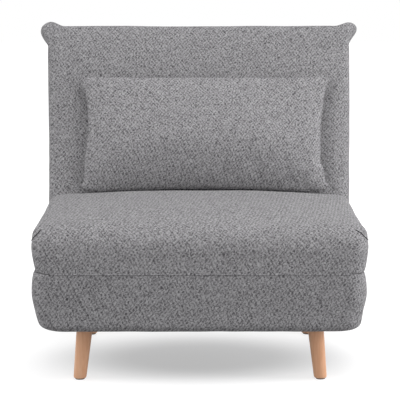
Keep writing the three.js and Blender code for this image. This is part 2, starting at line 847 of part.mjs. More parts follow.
/** A knife-edge pillow: two crowned faces that share one drawn-in seam. */
function pillowBody(inset, fullFront, fullRear, columns, rows) {
  const seamY = -(backFaceCrown + pillowRearBulge + 2 * clearance);
  const corners = [];
  const indexOf = new Map();
  const place = (i, j, face) => {
    const onSeam = i === 0 || j === 0 || i === columns || j === rows;
    const key = `${i},${j},${onSeam ? 0 : face}`;
    if (!indexOf.has(key)) {
      const u = i / columns;
      const v = j / rows;
      const halfWidth = pillowWidth / 2 - inset - pillowSideDrawIn * Math.sin(Math.PI * v);
      const halfHeight = pillowHeight / 2 - inset - pillowEdgeDrawIn * Math.sin(Math.PI * u);
      const plump = Math.pow(Math.max(Math.sin(Math.PI * u) * Math.sin(Math.PI * v), 0), pillowPlumpShare);
      const bulge = onSeam ? 0 : (face > 0 ? fullRear : -fullFront) * plump;
      indexOf.set(key, corners.length / 3);
      corners.push(
        pillowShift + halfWidth * (2 * u - 1),
        seamY + bulge,
        pillowStart + pillowHeight / 2 + halfHeight * (2 * v - 1),
      );
    }
    return indexOf.get(key);
  };
  const faces = [];
  for (const face of [-1, 1]) {
    for (let i = 0; i < columns; i++) {
      for (let j = 0; j < rows; j++) {
        const a = place(i, j, face);
        const b = place(i + 1, j, face);
        const c = place(i + 1, j + 1, face);
        const d = place(i, j + 1, face);
        faces.push(...(face < 0 ? [a, b, c, a, c, d] : [a, c, b, a, d, c]));
      }
    }
  }
  const geometry = new THREE.BufferGeometry();
  geometry.setAttribute('position', new THREE.BufferAttribute(new Float32Array(corners), 3));
  geometry.setIndex(faces);
  return solid(geometry);
}

/** Pillow: cover with a zipped slit low on its rear face, and the filling. */
function buildPillow() {
  const slitHeight = pillowStart + zipRise;
  const slit = (shrink, from, to) => box(
    point(pillowShift - zipLength / 2 + shrink, from, slitHeight - zipWidth / 2 + shrink),
    point(pillowShift + zipLength / 2 - shrink, to, slitHeight + zipWidth / 2 - shrink),
  );
  const outer = pillowBody(0, pillowFrontBulge, pillowRearBulge, pillowColumns, pillowRows);
  const inner = (gap) => pillowBody(
    pillowCoreInset + gap, pillowFrontBulge - pillowWall - gap, pillowRearBulge - pillowWall - gap,
    pillowColumns / 2, pillowRows / 2,
  );
  const seamY = -(backFaceCrown + pillowRearBulge + 2 * clearance);
  const cover = outer.subtract(inner(0)).subtract(slit(0, seamY, 0));
  addPiece(back, 'pillow_cover', cover, materials.pillowFabric);
  addPiece(back, 'pillow_filling', inner(clearance), materials.foam);
  const tape = outer.subtract(inner(0)).intersect(slit(clearance, seamY, 0));
  addPiece(back, 'pillow_zip', tape, materials.glide);
}

buildBase();
buildFoldSeam();
buildFlap();
buildSupportLegs();
buildBack();
buildPillow();

back.position.set(0, reclineY, foldHeight);
back.rotation.x = -THREE.MathUtils.degToRad(backLean);

// The middle between the front of the fold tape and the rear top edge of the leaning back
const leanSine = Math.sin(THREE.MathUtils.degToRad(backLean));
const leanCosine = Math.cos(THREE.MathUtils.degToRad(backLean));
const rearmost = reclineY + backLength * leanSine + backThickness * leanCosine;
chair.position.y = -(rearmost - foldTapeProud) / 2;

export default chair;
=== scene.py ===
"""Looks of a convertible chair bed: padded tweed cushions, beech legs, hinge metal and a pale studio.

Lengths are in metres. X runs to the right as seen from the front, Y to the back and Z up.
Depths of the seat layers run from the fold axis. The back and the pillow are written from the recline axis.
"""
import json
import math

import bpy
import numpy as np
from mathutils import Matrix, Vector, noise
from mathutils.bvhtree import BVHTree


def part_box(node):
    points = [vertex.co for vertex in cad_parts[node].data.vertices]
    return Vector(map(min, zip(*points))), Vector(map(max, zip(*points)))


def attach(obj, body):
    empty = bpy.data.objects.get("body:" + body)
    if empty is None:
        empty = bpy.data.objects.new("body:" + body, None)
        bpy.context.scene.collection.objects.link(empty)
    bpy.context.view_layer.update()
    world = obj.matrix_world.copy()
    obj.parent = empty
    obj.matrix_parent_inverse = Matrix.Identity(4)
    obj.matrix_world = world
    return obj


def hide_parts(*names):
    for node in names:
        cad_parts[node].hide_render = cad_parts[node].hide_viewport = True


bl_info = {
    "name": "Chair Bed Upholstery",
    "version": (1, 0, 0),
    "blender": (4, 5, 0),
    "location": "3D View > Sidebar > Chair Bed",
    "description": "Builds the cushions, legs, finishes and studio of a convertible chair bed",
    "category": "Object",
}

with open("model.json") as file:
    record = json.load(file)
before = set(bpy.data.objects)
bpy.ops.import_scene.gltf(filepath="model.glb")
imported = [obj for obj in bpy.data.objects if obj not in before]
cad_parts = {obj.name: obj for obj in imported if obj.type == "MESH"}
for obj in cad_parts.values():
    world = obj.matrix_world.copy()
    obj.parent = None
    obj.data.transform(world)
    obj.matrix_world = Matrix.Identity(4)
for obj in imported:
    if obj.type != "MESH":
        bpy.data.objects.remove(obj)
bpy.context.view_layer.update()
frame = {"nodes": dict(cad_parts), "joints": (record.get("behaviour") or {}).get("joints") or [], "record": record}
JOINTS = {joint["name"]: Vector(joint["pos_m"]) for joint in frame["joints"]}
FOLD = JOINTS["seat_fold"]
HINGE = JOINTS["back_recline"]
LEAN = math.radians(15)

# The two seat layers, with heights from the floor and depths from the fold axis
SEAT_HALF = 0.450
# "low" and "high" are the roundings of the front, side and rear edges, "taper" the narrowing below and above,
# "right_draw" how much tighter the cover is sewn on the right
BASE = {
    "bottom": 0.145, "top": 0.3037, "front": 0.0008, "rear": 0.618,
    "low": (0.022, 0.019, 0.028), "high": (0.0016, 0.006, 0.020), "taper": (0.024, 0.006),
    "right_draw": 0.006,
}
FLAP = {
    "bottom": 0.3043, "top": 0.426, "front": 0.0008, "rear": 0.600,
    "low": (0.0016, 0.003, 0.016), "high": (0.062, 0.031, 0.036), "taper": (0.012, 0.0),
    "right_draw": 0.002,
}
FOLD_GAP = 0.0003
RING_SPACING = 0.012
# The hollow of the base's underside that the lining closes
LINING_HOLLOW = {"half": 0.385, "front": 0.043, "rear": 0.575, "edge": 0.006, "depth": 0.0045}
LINING_SAG = 0.0012
SIDE_SEAM_X = 0.452
BASE_SEAM_HEIGHT = 0.200
STITCHED_BAND = 0.012
# The flap's corner darts on each side, and the run of its side seam behind them
FLAP_DARTS = {
    -1: [(0.423, 0.046, 0.4190), (0.431, 0.037, 0.4125), (0.4395, 0.033, 0.4035)],
    1: [(0.4110, 0.039, 0.418), (0.425, 0.033, 0.4125), (0.4370, 0.030, 0.4010)],
}
FLAP_SEAM_RUN = [(0.4465, 0.046, 0.389), (0.451, 0.080, 0.382)] + [
    (SIDE_SEAM_X, y, 0.378) for y in np.linspace(0.13, 0.56, 12)]
SEAT_CORNER = 0.048
SEAT_CROWN = 0.020
SEAT_CROWN_RUNS = {"side": 0.32, "front": 0.19, "rear": 0.09}

# The back, from the recline axis: across, depth behind the face, height along the face
BACK_DEPTH = 0.140
BACK_START = 0.008
BACK_LENGTH = 0.638
BACK_HALF_LOW = 0.4575
BACK_HALF_TOP = 0.4645
BACK_CORNER = 0.038
BACK_FACE_EDGE = 0.018
BACK_REAR_EDGE = 0.032
BACK_CROWN = 0.006
BACK_CROWN_RUN = 0.18
# The lower, the further the ears keep their full reach towards the face and the rear
EAR_FULLNESS = 0.45
# Ear outlines as pairs of reach beyond the side and rise above the top edge
EAR_LEFT = (
    (0.0, -0.120), (0.002, -0.088), (0.006, -0.056), (0.0150, -0.040), (0.0255, -0.022), (0.0280, -0.009),
    (0.0230, 0.004), (0.0125, 0.0125), (0.001, 0.0175), (-0.012, 0.0178), (-0.026, 0.0125), (-0.041, 0.005),
    (-0.062, 0.0),
)
EAR_RIGHT = (
    (0.0, -0.120), (0.001, -0.085), (0.004, -0.052), (0.013, -0.032), (0.0230, -0.018), (0.0285, -0.006),
    (0.0260, 0.005), (0.0175, 0.0125), (0.009, 0.0155), (-0.002, 0.0145), (-0.018, 0.009), (-0.036, 0.003),
    (-0.062, 0.0),
)

BACK_CREASES = (
    ((0.385, -0.004, 0.470), (0.404, -0.004, 0.505), (0.428, 0.0, 0.545)),
    ((0.402, -0.004, 0.420), (0.410, -0.004, 0.470), (0.436, 0.002, 0.500)),
    ((0.392, -0.004, 0.250), (0.400, -0.004, 0.330), (0.396, -0.004, 0.410)),
    ((-0.400, -0.004, 0.300), (-0.410, -0.004, 0.380), (-0.404, -0.004, 0.460)),
)
EAR_FOLD = ((0.470, 0.070, 0.560), (0.458, 0.030, 0.600), (0.425, 0.020, 0.628))

# The pillow, in the back's own directions
PILLOW_HALF_WIDTH = 0.386
PILLOW_HALF_HEIGHT = 0.178
PILLOW_MIDDLE = (0.0165, -0.043, 0.289)
PILLOW_FRONT = 0.055
PILLOW_REAR = 0.036
# How much fuller the pillow is below than at its middle, and how far its cloth run may move a point
PILLOW_SAG = 0.24
PILLOW_SWELL = 0.009
PILLOW_EDGE_DRAW = {"bottom": 0.010, "top": 0.002}
# How far the lower corners are drawn up, and the shares of width and height over which this fades
PILLOW_TIP = {"rise": 0.014, "width": 0.09, "height": 0.15}
# How far each side draws in behind its corners, against the share of the height
PILLOW_LEFT = (
    (0.0, 0.0), (0.05, 0.0150), (0.12, 0.0198), (0.22, 0.0213), (0.33, 0.0240), (0.45, 0.0292),
    (0.56, 0.0307), (0.68, 0.0292), (0.80, 0.0252), (0.89, 0.0185), (0.95, 0.0103), (1.0, 0.0),
)
PILLOW_RIGHT = (
    (0.0, 0.0), (0.05, 0.0150), (0.12, 0.0213), (0.20, 0.0243), (0.26, 0.0350), (0.35, 0.0331),
    (0.46, 0.0331), (0.62, 0.0304), (0.72, 0.0261), (0.83, 0.0210), (0.92, 0.0106), (1.0, 0.0),
)

# The wooden legs
LEG_FOOT_X = 0.326
LEG_TOP_X = 0.311
LEG_ROWS = {"front": 0.079, "rear": 0.570}
LEG_FOOT_Z = 0.0027
LEG_TOP_RADIUS = 0.022
LEG_FOOT_RADIUS = 0.0175
LEG_FOOT_ROUNDING = 0.004

SEAM_RADIUS = 0.0011
# Depth and width of what is pressed into the padding
BASE_SEAM_GROOVE = (0.0022, 0.009)
FLAP_SEAM_GROOVE = (0.0032, 0.008)
DART_GROOVE = (0.0030, 0.009)
BACK_CREASE_GROOVE = (0.0022, 0.010)
EAR_FOLD_GROOVE = (0.004, 0.012)
PILLOW_CREASE_WIDTH = 0.008
# Creases from a pillow corner, as angle from level, reach and depth, where a negative depth is a ridge
PILLOW_CREASES = ((0.10, 0.065, -0.004), (0.40, 0.085, 0.0045), (1.1, 0.060, 0.0045))
# Size and seed of the slow waves of each cushion
WAVES = {"base": (0.13, 1), "flap": (0.15, 2), "back": (0.16, 3), "pillow": (0.11, 4)}
CLOTH_FRAMES = 14
CLOTH = {
    "quality": 5, "mass": 0.35, "tension_stiffness": 14, "compression_stiffness": 10,
    "bending_stiffness": 0.6, "use_pressure": True,
}

# What the shade of the tweed is made of, from its darkest yarn up
TWEED = {"fleck": 0.26, "fibre": 0.13, "weave": 0.052, "mottle": 0.05, "start": 0.27}
# Directions of the two sets of threads, which no face of the cushions meets square on
WEAVE_DIRECTIONS = ((0.9, 0.8, 0.45), (0.95, -0.12, -0.8))

# The studio: lamps as place, size and share of the key power, and the floor's glow as
# middle, scale and the two distances and levels of its soft step
LAMPS = {
    "key_lamp": ((1.2, -2.3, 3.2), 2.2, 0.62),
    "top_lamp": ((0.2, -1.3, 3.5), 2.4, 1.05),
    "left_lamp": ((-3.0, -0.5, 0.85), 1.3, 0.62),
    "right_lamp": ((3.0, -0.5, 0.85), 1.3, 1.25),
    "rear_lamp": ((0.0, 2.2, 1.2), 1.0, 0.6),
}
LAMP_TARGET = (0, 0, 0.4)
FLOOR_REACH = 14.0
# Painted shadow: the floor's glow seen by the camera is dimmer in an ellipse under the chair
FLOOR_GLOW_PAINTED_SHADOW = ((0.0, -0.17, 0.0), (2.0, 3.2, 1.0), (0.34, 1.05, 0.412, 0.78))
GLOW_FAR = ((0.0, 0.0, 0.0), (1.0, 1.0, 1.0), (1.3, 3.0, 0.0, 0.22))
CAMERA_X = -0.0213
SENSOR_WIDTH = 36.0


def linear(red, green, blue):
    """A colour written as sRGB bytes, as linear values with full alpha."""
    def channel(value):
        share = value / 255
        return share / 12.92 if share <= 0.04045 else ((share + 0.055) / 1.055) ** 2.4
    return (channel(red), channel(green), channel(blue), 1.0)


# Property groups

class CushionSizes(bpy.types.PropertyGroup):
    """Sizes of the padding that a user may change."""
    spacing: bpy.props.FloatProperty(
        name="Mesh Spacing", description="Distance between points on a cushion", default=0.0105,
        min=0.006, max=0.03, unit="LENGTH")
    pressure: bpy.props.FloatProperty(
        name="Padding Pressure", description="How hard the filling presses on the fabric", default=3.0,
        min=0.0, max=10.0)
    swell: bpy.props.FloatProperty(
        name="Largest Swell", description="Furthest that the fabric may move from its pattern",
        default=0.0045, min=0.0, max=0.03, unit="LENGTH")
    slack: bpy.props.FloatProperty(
        name="Fabric Slack", description="Share by which the fabric is cut too large", default=0.012,
        min=0.0, max=0.1, subtype="FACTOR")
    waviness: bpy.props.FloatProperty(
        name="Waviness", description="Height of the slow waves in the padding", default=0.0016,
        min=0.0, max=0.01, unit="LENGTH")


class FabricLook(bpy.types.PropertyGroup):
    """Colours and grain of the tweed."""
    dark_yarn: bpy.props.FloatVectorProperty(
        name="Dark Yarn", description="Darkest yarn of the tweed", default=linear(83, 81, 84), size=4,
        min=0.0, max=1.0, subtype="COLOR")
    light_yarn: bpy.props.FloatVectorProperty(
        name="Light Yarn", description="Lightest yarn of the tweed", default=linear(201, 200, 202), size=4,
        min=0.0, max=1.0, subtype="COLOR")
    # Painted shade: the dark colour of the fabric down inside a seam
    seam_painted_shade: bpy.props.FloatVectorProperty(
        name="Seam Shade", description="Colour down inside a seam", default=linear(50, 48, 51), size=4,
        min=0.0, max=1.0, subtype="COLOR")
    weave: bpy.props.FloatProperty(
        name="Thread Spacing", description="Distance between two threads of the weave", default=0.0095,
        min=0.001, max=0.02, unit="LENGTH")
    grain: bpy.props.FloatProperty(
        name="Yarn Size", description="Size of one fleck of yarn", default=0.0026,
        min=0.001, max=0.02, unit="LENGTH")
    relief: bpy.props.FloatProperty(
        name="Yarn Relief", description="Strength of the yarn's relief", default=0.55,
        min=0.0, max=1.0, subtype="FACTOR")


class WoodLook(bpy.types.PropertyGroup):
    """Colours of the beech legs and slats."""
    early_wood: bpy.props.FloatVectorProperty(
        name="Light Grain", description="Lighter bands of the wood", default=linear(244, 193, 156), size=4,
        min=0.0, max=1.0, subtype="COLOR")
    late_wood: bpy.props.FloatVectorProperty(
        name="Dark Grain", description="Darker bands of the wood", default=linear(225, 164, 124), size=4,
        min=0.0, max=1.0, subtype="COLOR")


class StudioLook(bpy.types.PropertyGroup):
    """Camera and lamps."""
    distance: bpy.props.FloatProperty(
        name="Camera Distance", description="From the camera to the fold axis, level", default=4.0,
        min=1.0, max=20.0, unit="LENGTH")
    height: bpy.props.FloatProperty(
        name="Camera Height", description="Height of the camera", default=1.163,
        min=0.1, max=5.0, unit="LENGTH")
    pitch: bpy.props.FloatProperty(
        name="Camera Pitch", description="How far the camera looks down", default=math.radians(9.365),
        min=0.0, max=1.5, subtype="ANGLE", unit="ROTATION")
    turn: bpy.props.FloatProperty(
        name="Camera Turn", description="How far the camera looks to the right", default=math.radians(0.291),
        min=-0.5, max=0.5, subtype="ANGLE", unit="ROTATION")
    lens: bpy.props.FloatProperty(
        name="Lens", description="Focal length of the camera in millimetres", default=139.8,
        min=10.0, max=400.0)
    key_power: bpy.props.FloatProperty(
        name="Key Lamp", description="Power of the large lamp above the front", default=35.5,
        min=0.0, max=1000.0, unit="POWER")
    sky_strength: bpy.props.FloatProperty(
        name="Sky Strength", description="Strength of the even light all round", default=0.60,
        min=0.0, max=5.0)


# Small helpers for meshes

def from_back(across, depth, height):
    """Points of the back's own frame in the row frame."""
    sine, cosine = math.sin(LEAN), math.cos(LEAN)
    across, depth, height = (np.asarray(value, dtype=float) for value in (across, depth, height))
    return np.stack([
        HINGE.x + across,
        HINGE.y + depth * cosine + height * sine,
        HINGE.z - depth * sine + height * cosine,
    ], axis=-1)


def from_fold(points):
    """Points with depths from the fold axis in the row frame."""
    moved = np.array(points, dtype=float)
    moved[..., 1] += FOLD.y
    return moved


def resample(path, count):
    """Evenly spaced points along an open path, both ends included."""
    path = np.asarray(path, dtype=float)
    run = np.concatenate([[0], np.cumsum(np.linalg.norm(np.diff(path, axis=0), axis=1))])
    wanted = np.linspace(0, run[-1], count + 1)
    return np.stack([np.interp(wanted, run, path[:, k]) for k in range(path.shape[1])], axis=1)


def smooth_path(points, steps=8):
    """A smooth curve through points."""
    points = np.asarray(points, dtype=float)
    padded = np.concatenate([2 * points[:1] - points[1:2], points, 2 * points[-1:] - points[-2:-1]])
    curve = []
    for a, b, c, d in zip(padded, padded[1:], padded[2:], padded[3:]):
        for share in np.arange(steps) / steps:
            curve.append(0.5 * (
                2 * b + (c - a) * share + (2 * a - 5 * b + 4 * c - d) * share ** 2
                + (3 * b - a - 3 * c + d) * share ** 3))
    return np.array(curve + [points[-1]])


def edge_inset(distance, radius):
    """How far a rounded edge draws in at a distance from its face."""
    if radius <= 0 or distance >= radius:
        return 0.0
    rest = radius - max(distance, 0.0)
    return radius - math.sqrt(radius * radius - rest * rest)


def edge_levels(radius, steps=7):
    """Distances from a face that follow a rounded edge evenly."""
    return [radius * (1 - math.cos(0.5 * math.pi * k / steps)) for k in range(steps + 1)]


def arc(cx, cy, radius, start, end, steps=6):
    """Points of an arc between two angles in degrees."""
    angles = np.radians(np.linspace(start, end, steps + 1))
    return [(cx + radius * math.cos(a), cy + radius * math.sin(a)) for a in angles]


def seat_outline(half, front, rear, radius, counts):
    """Four sides of a rounded rectangle, each from corner middle to corner middle, anticlockwise."""
    left, right, near, far = -half + radius, half - radius, front + radius, rear - radius
    paths = [
        arc(left, near, radius, 225, 270) + arc(right, near, radius, 270, 315),
        arc(right, near, radius, 315, 360) + arc(right, far, radius, 0, 45),
        arc(right, far, radius, 45, 90) + arc(left, far, radius, 90, 135),
        arc(left, far, radius, 135, 180) + arc(left, near, radius, 180, 225),
    ]
    return [resample(path, count) for path, count in zip(paths, counts)]


def patch(sides, counts):
    """Points of a smooth patch between four sides, as a grid from the first side to the third."""
    wide, deep = counts
    low, right, high, left = sides[0], sides[1], sides[2][::-1], sides[3][::-1]
    u = np.linspace(0, 1, wide + 1)[None, :, None]
    v = np.linspace(0, 1, deep + 1)[:, None, None]
    across = (1 - v) * low[None] + v * high[None]
    along = (1 - u) * left[:, None] + u * right[:, None]
    corners = (
        (1 - u) * (1 - v) * low[0] + u * (1 - v) * low[-1] + (1 - u) * v * high[0] + u * v * high[-1])
    return across + along - corners


def ring_of(sides):
    return np.concatenate([side[:-1] for side in sides])


def ring_indices(counts):
    """Grid places (row, column) of a patch's rim, in the order of ring_of."""
    wide, deep = counts
    rim = [(0, i) for i in range(wide)]
    rim += [(j, wide) for j in range(deep)]
    rim += [(deep, wide - i) for i in range(wide)]
    rim += [(deep - j, 0) for j in range(deep)]
    return rim


def closed_skin(rings, caps, counts):
    """Points and faces of a closed skin: rings between two grid caps, of which each shares one rim."""
    wide, deep = counts
    size = len(rings[0])
    points = [np.concatenate(rings)]
    faces = []
    total = size * len(rings)
    for level in range(len(rings) - 1):
        for i in range(size):
            a, b = level * size + i, level * size + (i + 1) % size
            faces.append((a, b, b + size, a + size))
    rim = ring_indices(counts)
    for cap, start, turned in ((caps[0], 0, True), (caps[1], size * (len(rings) - 1), False)):
        place = {spot: start + k for k, spot in enumerate(rim)}
        inner = []
        for j in range(1, deep):
            for i in range(1, wide):
                place[(j, i)] = total + len(inner)
                inner.append(cap[j, i])
        points.append(np.array(inner))
        total += len(inner)
        for j in range(deep):
            for i in range(wide):
                quad = (place[(j, i)], place[(j, i + 1)], place[(j + 1, i + 1)], place[(j + 1, i)])
                faces.append(quad[::-1] if turned else quad)
    return np.concatenate(points), faces


def new_object(name, points, faces, material, smooth=True):
    """A mesh object in the row frame with one material."""
    mesh = bpy.data.meshes.new(name)
    mesh.from_pydata([tuple(p) for p in points], [], faces)
    mesh.validate()
    mesh.update()
    mesh.polygons.foreach_set("use_smooth", [smooth] * len(mesh.polygons))
    made = bpy.data.objects.new(name, mesh)
    bpy.context.scene.collection.objects.link(made)
    made.data.materials.append(material)
    return made


def get_points(made):
    flat = np.empty(len(made.data.vertices) * 3)
    made.data.vertices.foreach_get("co", flat)
    return flat.reshape(-1, 3)


def set_points(made, points):
    made.data.vertices.foreach_set("co", points.ravel())
    made.data.update()


def get_normals(made):
    flat = np.empty(len(made.data.vertices) * 3)
    made.data.vertices.foreach_get("normal", flat)
    return flat.reshape(-1, 3)


def distance_to_path(points, path):
    """Distance of each point from a path of short segments."""
    best = np.full(len(points), np.inf)
    for a, b in zip(path, path[1:]):
        along = b - a
        share = np.clip((points - a) @ along / max(along @ along, 1e-12), 0, 1)
        best = np.minimum(best, np.linalg.norm(points - a - share[:, None] * along, axis=1))
    return best


def press_groove(made, path, depth, width):
    """Draws the padding in along a seam or a crease."""
    points = get_points(made)
    near = distance_to_path(points, np.asarray(path))
    set_points(made, points - get_normals(made) * (depth * np.exp(-(near / width) ** 2))[:, None])


def add_waves(made, height, size, seed):
    """Slow waves of soft padding under taut fabric."""
    points, normals = get_points(made), get_normals(made)
    offset = Vector((seed * 7.3, seed * 3.1, seed * 5.7))
    lift = np.array([
        noise.noise(Vector(p) / size + offset) + 0.5 * noise.noise(Vector(p) / (size * 0.45) - offset)
        for p in points])
    set_points(made, points + normals * (lift * height)[:, None])


def fill_with_padding(made, sizes, pinned, reach=None):
    """Swells a cushion with a short cloth run and keeps each point near its pattern."""
    before = get_points(made)
    if sizes.pressure <= 0:
        return
    group = made.vertex_groups.new(name="stitched")
    for index in np.flatnonzero(pinned > 0.01):
        group.add([int(index)], float(pinned[index]), "REPLACE")
    cloth = made.modifiers.new("Padding", "CLOTH")
    settings = cloth.settings
    for key, value in CLOTH.items():
        setattr(settings, key, value)
    settings.uniform_pressure_force = sizes.pressure
    settings.shrink_min = -sizes.slack
    settings.effector_weights.gravity = 0
    settings.vertex_group_mass = "stitched"
    cloth.point_cache.frame_end = CLOTH_FRAMES
    scene = bpy.context.scene
    for step in range(1, CLOTH_FRAMES + 1):
        scene.frame_set(step)
    graph = bpy.context.evaluated_depsgraph_get()
    swollen = made.evaluated_get(graph)
    after = np.empty(len(before) * 3)
    swollen.data.vertices.foreach_get("co", after)
    made.modifiers.remove(cloth)
    made.vertex_groups.remove(group)
    scene.frame_set(1)
    moved = after.reshape(-1, 3) - before
    most = sizes.swell if reach is None else reach
    length = np.linalg.norm(moved, axis=1, keepdims=True)
    set_points(made, before + moved * (most / (most + length)))


def keep_within(made, axis, low=None, high=None):
    """Holds a cushion's resting face flat against what it lies on."""
    points = get_points(made)
    points[:, axis] = np.clip(points[:, axis], low, high)
    set_points(made, points)


def keep_behind(made, front, softness=0.001):
    """Eases a front face back behind a plane, so that two layers that meet there don't cross."""
    points = get_points(made)
    over = (points[:, 1] - front) / softness
    points[:, 1] = front + softness * np.where(over > 30, over, np.log1p(np.exp(np.minimum(over, 30))))
    set_points(made, points)


def subdivide_once(made):
    level = made.modifiers.new("Fine Mesh", "SUBSURF")
    level.levels = level.render_levels = 1


def seam_thread(name, body, target, path, material, radius=SEAM_RADIUS, sink=0.35):
    """A seam line laid on a cushion along a path, as a thin closed tube sunk into the fabric."""
    graph = bpy.context.evaluated_depsgraph_get()
    tree = BVHTree.FromObject(target, graph)
    places, outward = [], []
    for point in path:
        hit = tree.find_nearest(Vector(point))
        places.append(np.array(hit[0]))
        outward.append(np.array(hit[1]))
    places = np.array(places) - np.array(outward) * radius * sink
    return tube(name, body, places, np.array(outward), radius, material)


def tube_faces(stations, facets, turned=False):
    """Faces of a tube of point rings, shut at both ends, and turned where the rings run the other way."""
    faces = []
    for k in range(stations - 1):
        for i in range(facets):
            a, b = k * facets + i, k * facets + (i + 1) % facets
            faces.append((a, b, b + facets, a + facets) if turned else (a, a + facets, b + facets, b))
    last = (stations - 1) * facets
    ends = [tuple(range(facets)), tuple(range(last + facets - 1, last - 1, -1))]
    return faces + ([end[::-1] for end in ends] if turned else ends)


def tube(name, body, places, outward, radius, material, facets=8):
    """A closed tube along points, with an outward direction at each."""
    along = np.gradient(places, axis=0)
    along /= np.linalg.norm(along, axis=1, keepdims=True)
    side = np.cross(along, outward)
    side /= np.linalg.norm(side, axis=1, keepdims=True)
    out = np.cross(side, along)
    angles = np.arange(facets) * 2 * math.pi / facets
    rings = places[:, None] + radius * (
        np.cos(angles)[None, :, None] * side[:, None] + np.sin(angles)[None, :, None] * out[:, None])
    made = new_object(name, rings.reshape(-1, 3), tube_faces(len(places), facets), material)
    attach(made, body)
    return made


# Materials

class Nodes:
    """Builds one node material step by step."""

    def __init__(self, name):
        self.material = bpy.data.materials.new(name)
        self.material.use_nodes = True
        self.tree = self.material.node_tree
        self.shader = self.tree.nodes["Principled BSDF"]
        self.where = self.add("ShaderNodeTexCoord").outputs["Object"]

    def add(self, kind, **values):
        made = self.tree.nodes.new(kind)
        for key, value in values.items():
            setattr(made, key, value)
        return made

    def link(self, source, target):
        self.tree.links.new(source, target)

    def stretched(self, scale):
        """Object coordinates with a scale for each direction."""
        mapping = self.add("ShaderNodeMapping")
        mapping.inputs["Scale"].default_value = scale
        self.link(self.where, mapping.inputs["Vector"])
        return mapping.outputs["Vector"]

    def noise(self, scale, detail=2.0, vector=None, roughness=0.5, output="Fac"):
        made = self.add("ShaderNodeTexNoise")
        made.inputs["Scale"].default_value = scale
        made.inputs["Detail"].default_value = detail
        made.inputs["Roughness"].default_value = roughness
        self.link(vector or self.where, made.inputs["Vector"])
        return made.outputs[output]

    def cells(self, scale, vector=None):
        made = self.add("ShaderNodeTexVoronoi")
        made.inputs["Scale"].default_value = scale
        self.link(vector or self.where, made.inputs["Vector"])
        return made

    def weave(self, vector, spacing):
        """Two crossing sets of threads, from -2 to 2."""
        threads = 0.0
        for direction in WEAVE_DIRECTIONS:
            along = self.vector_maths("DOT_PRODUCT", vector, direction).outputs["Value"]
            turns = self.maths("MULTIPLY", along, 2 * math.pi / spacing)
            threads = self.maths("ADD", self.maths("SINE", turns, 0.0), threads)
        return threads

    def vector_maths(self, operation, vector, constant=None):
        """A calculation with one linked vector and at most one constant vector."""
        made = self.add("ShaderNodeVectorMath", operation=operation)
        self.link(vector, made.inputs[0])
        if constant is not None:
            made.inputs[1].default_value = constant
        return made

    def step(self, value, limits):
        """A soft step between two values, from one level to another."""
        made = self.add("ShaderNodeMapRange", interpolation_type="SMOOTHSTEP")
        for socket, limit in zip(list(made.inputs)[1:5], limits):
            socket.default_value = limit
        self.link(value, made.inputs[0])
        return made.outputs[0]

    def ramp(self, value, stops):
        made = self.add("ShaderNodeValToRGB")
        band = made.color_ramp
        while len(band.elements) < len(stops):
            band.elements.new(0.5)
        for element, (place, color) in zip(band.elements, stops):
            element.position = place
            element.color = color if len(color) == 4 else (*color, 1.0)
        self.link(value, made.inputs["Fac"])
        return made.outputs["Color"]

    def maths(self, operation, a, b):
        made = self.add("ShaderNodeMath", operation=operation)
        for socket, value in zip(made.inputs, (a, b)):
            if isinstance(value, (int, float)):
                socket.default_value = value
            else:
                self.link(value, socket)
        return made.outputs["Value"]

    def mixed(self, *terms):
        """The sum of values times their shares."""
        total = None
        for value, share in terms:
            part = self.maths("MULTIPLY", value, share)
            total = part if total is None else self.maths("ADD", total, part)
        return total

    def relief(self, height, strength, distance):
        made = self.add("ShaderNodeBump")
        made.inputs["Strength"].default_value = strength
        made.inputs["Distance"].default_value = distance
        self.link(height, made.inputs["Height"])
        self.link(made.outputs["Normal"], self.shader.inputs["Normal"])

    def finish(self, color, roughness, metallic=0.0, sheen=0.0, specular=0.5):
        if isinstance(color, tuple):
            self.shader.inputs["Base Color"].default_value = color
        else:
            self.link(color, self.shader.inputs["Base Color"])
        if isinstance(roughness, float):
            self.shader.inputs["Roughness"].default_value = roughness
        else:
            self.link(roughness, self.shader.inputs["Roughness"])
        self.shader.inputs["Metallic"].default_value = metallic
        self.shader.inputs["Sheen Weight"].default_value = sheen
        self.shader.inputs["Specular IOR Level"].default_value = specular
        return self.material


def seen_by_camera(tree):
    """1 for what the camera sees, directly or in a reflection or through glass."""
    path = tree.nodes.new("ShaderNodeLightPath")
    seen = path.outputs["Is Camera Ray"]
    for ray in ("Is Glossy Ray", "Is Transmission Ray"):
        most = tree.nodes.new("ShaderNodeMath")
        most.operation = "MAXIMUM"
        tree.links.new(seen, most.inputs[0])
        tree.links.new(path.outputs[ray], most.inputs[1])
        seen = most.outputs["Value"]
    return seen


def shade(color, factor):
    return (*(channel * factor for channel in color[:3]), 1.0)


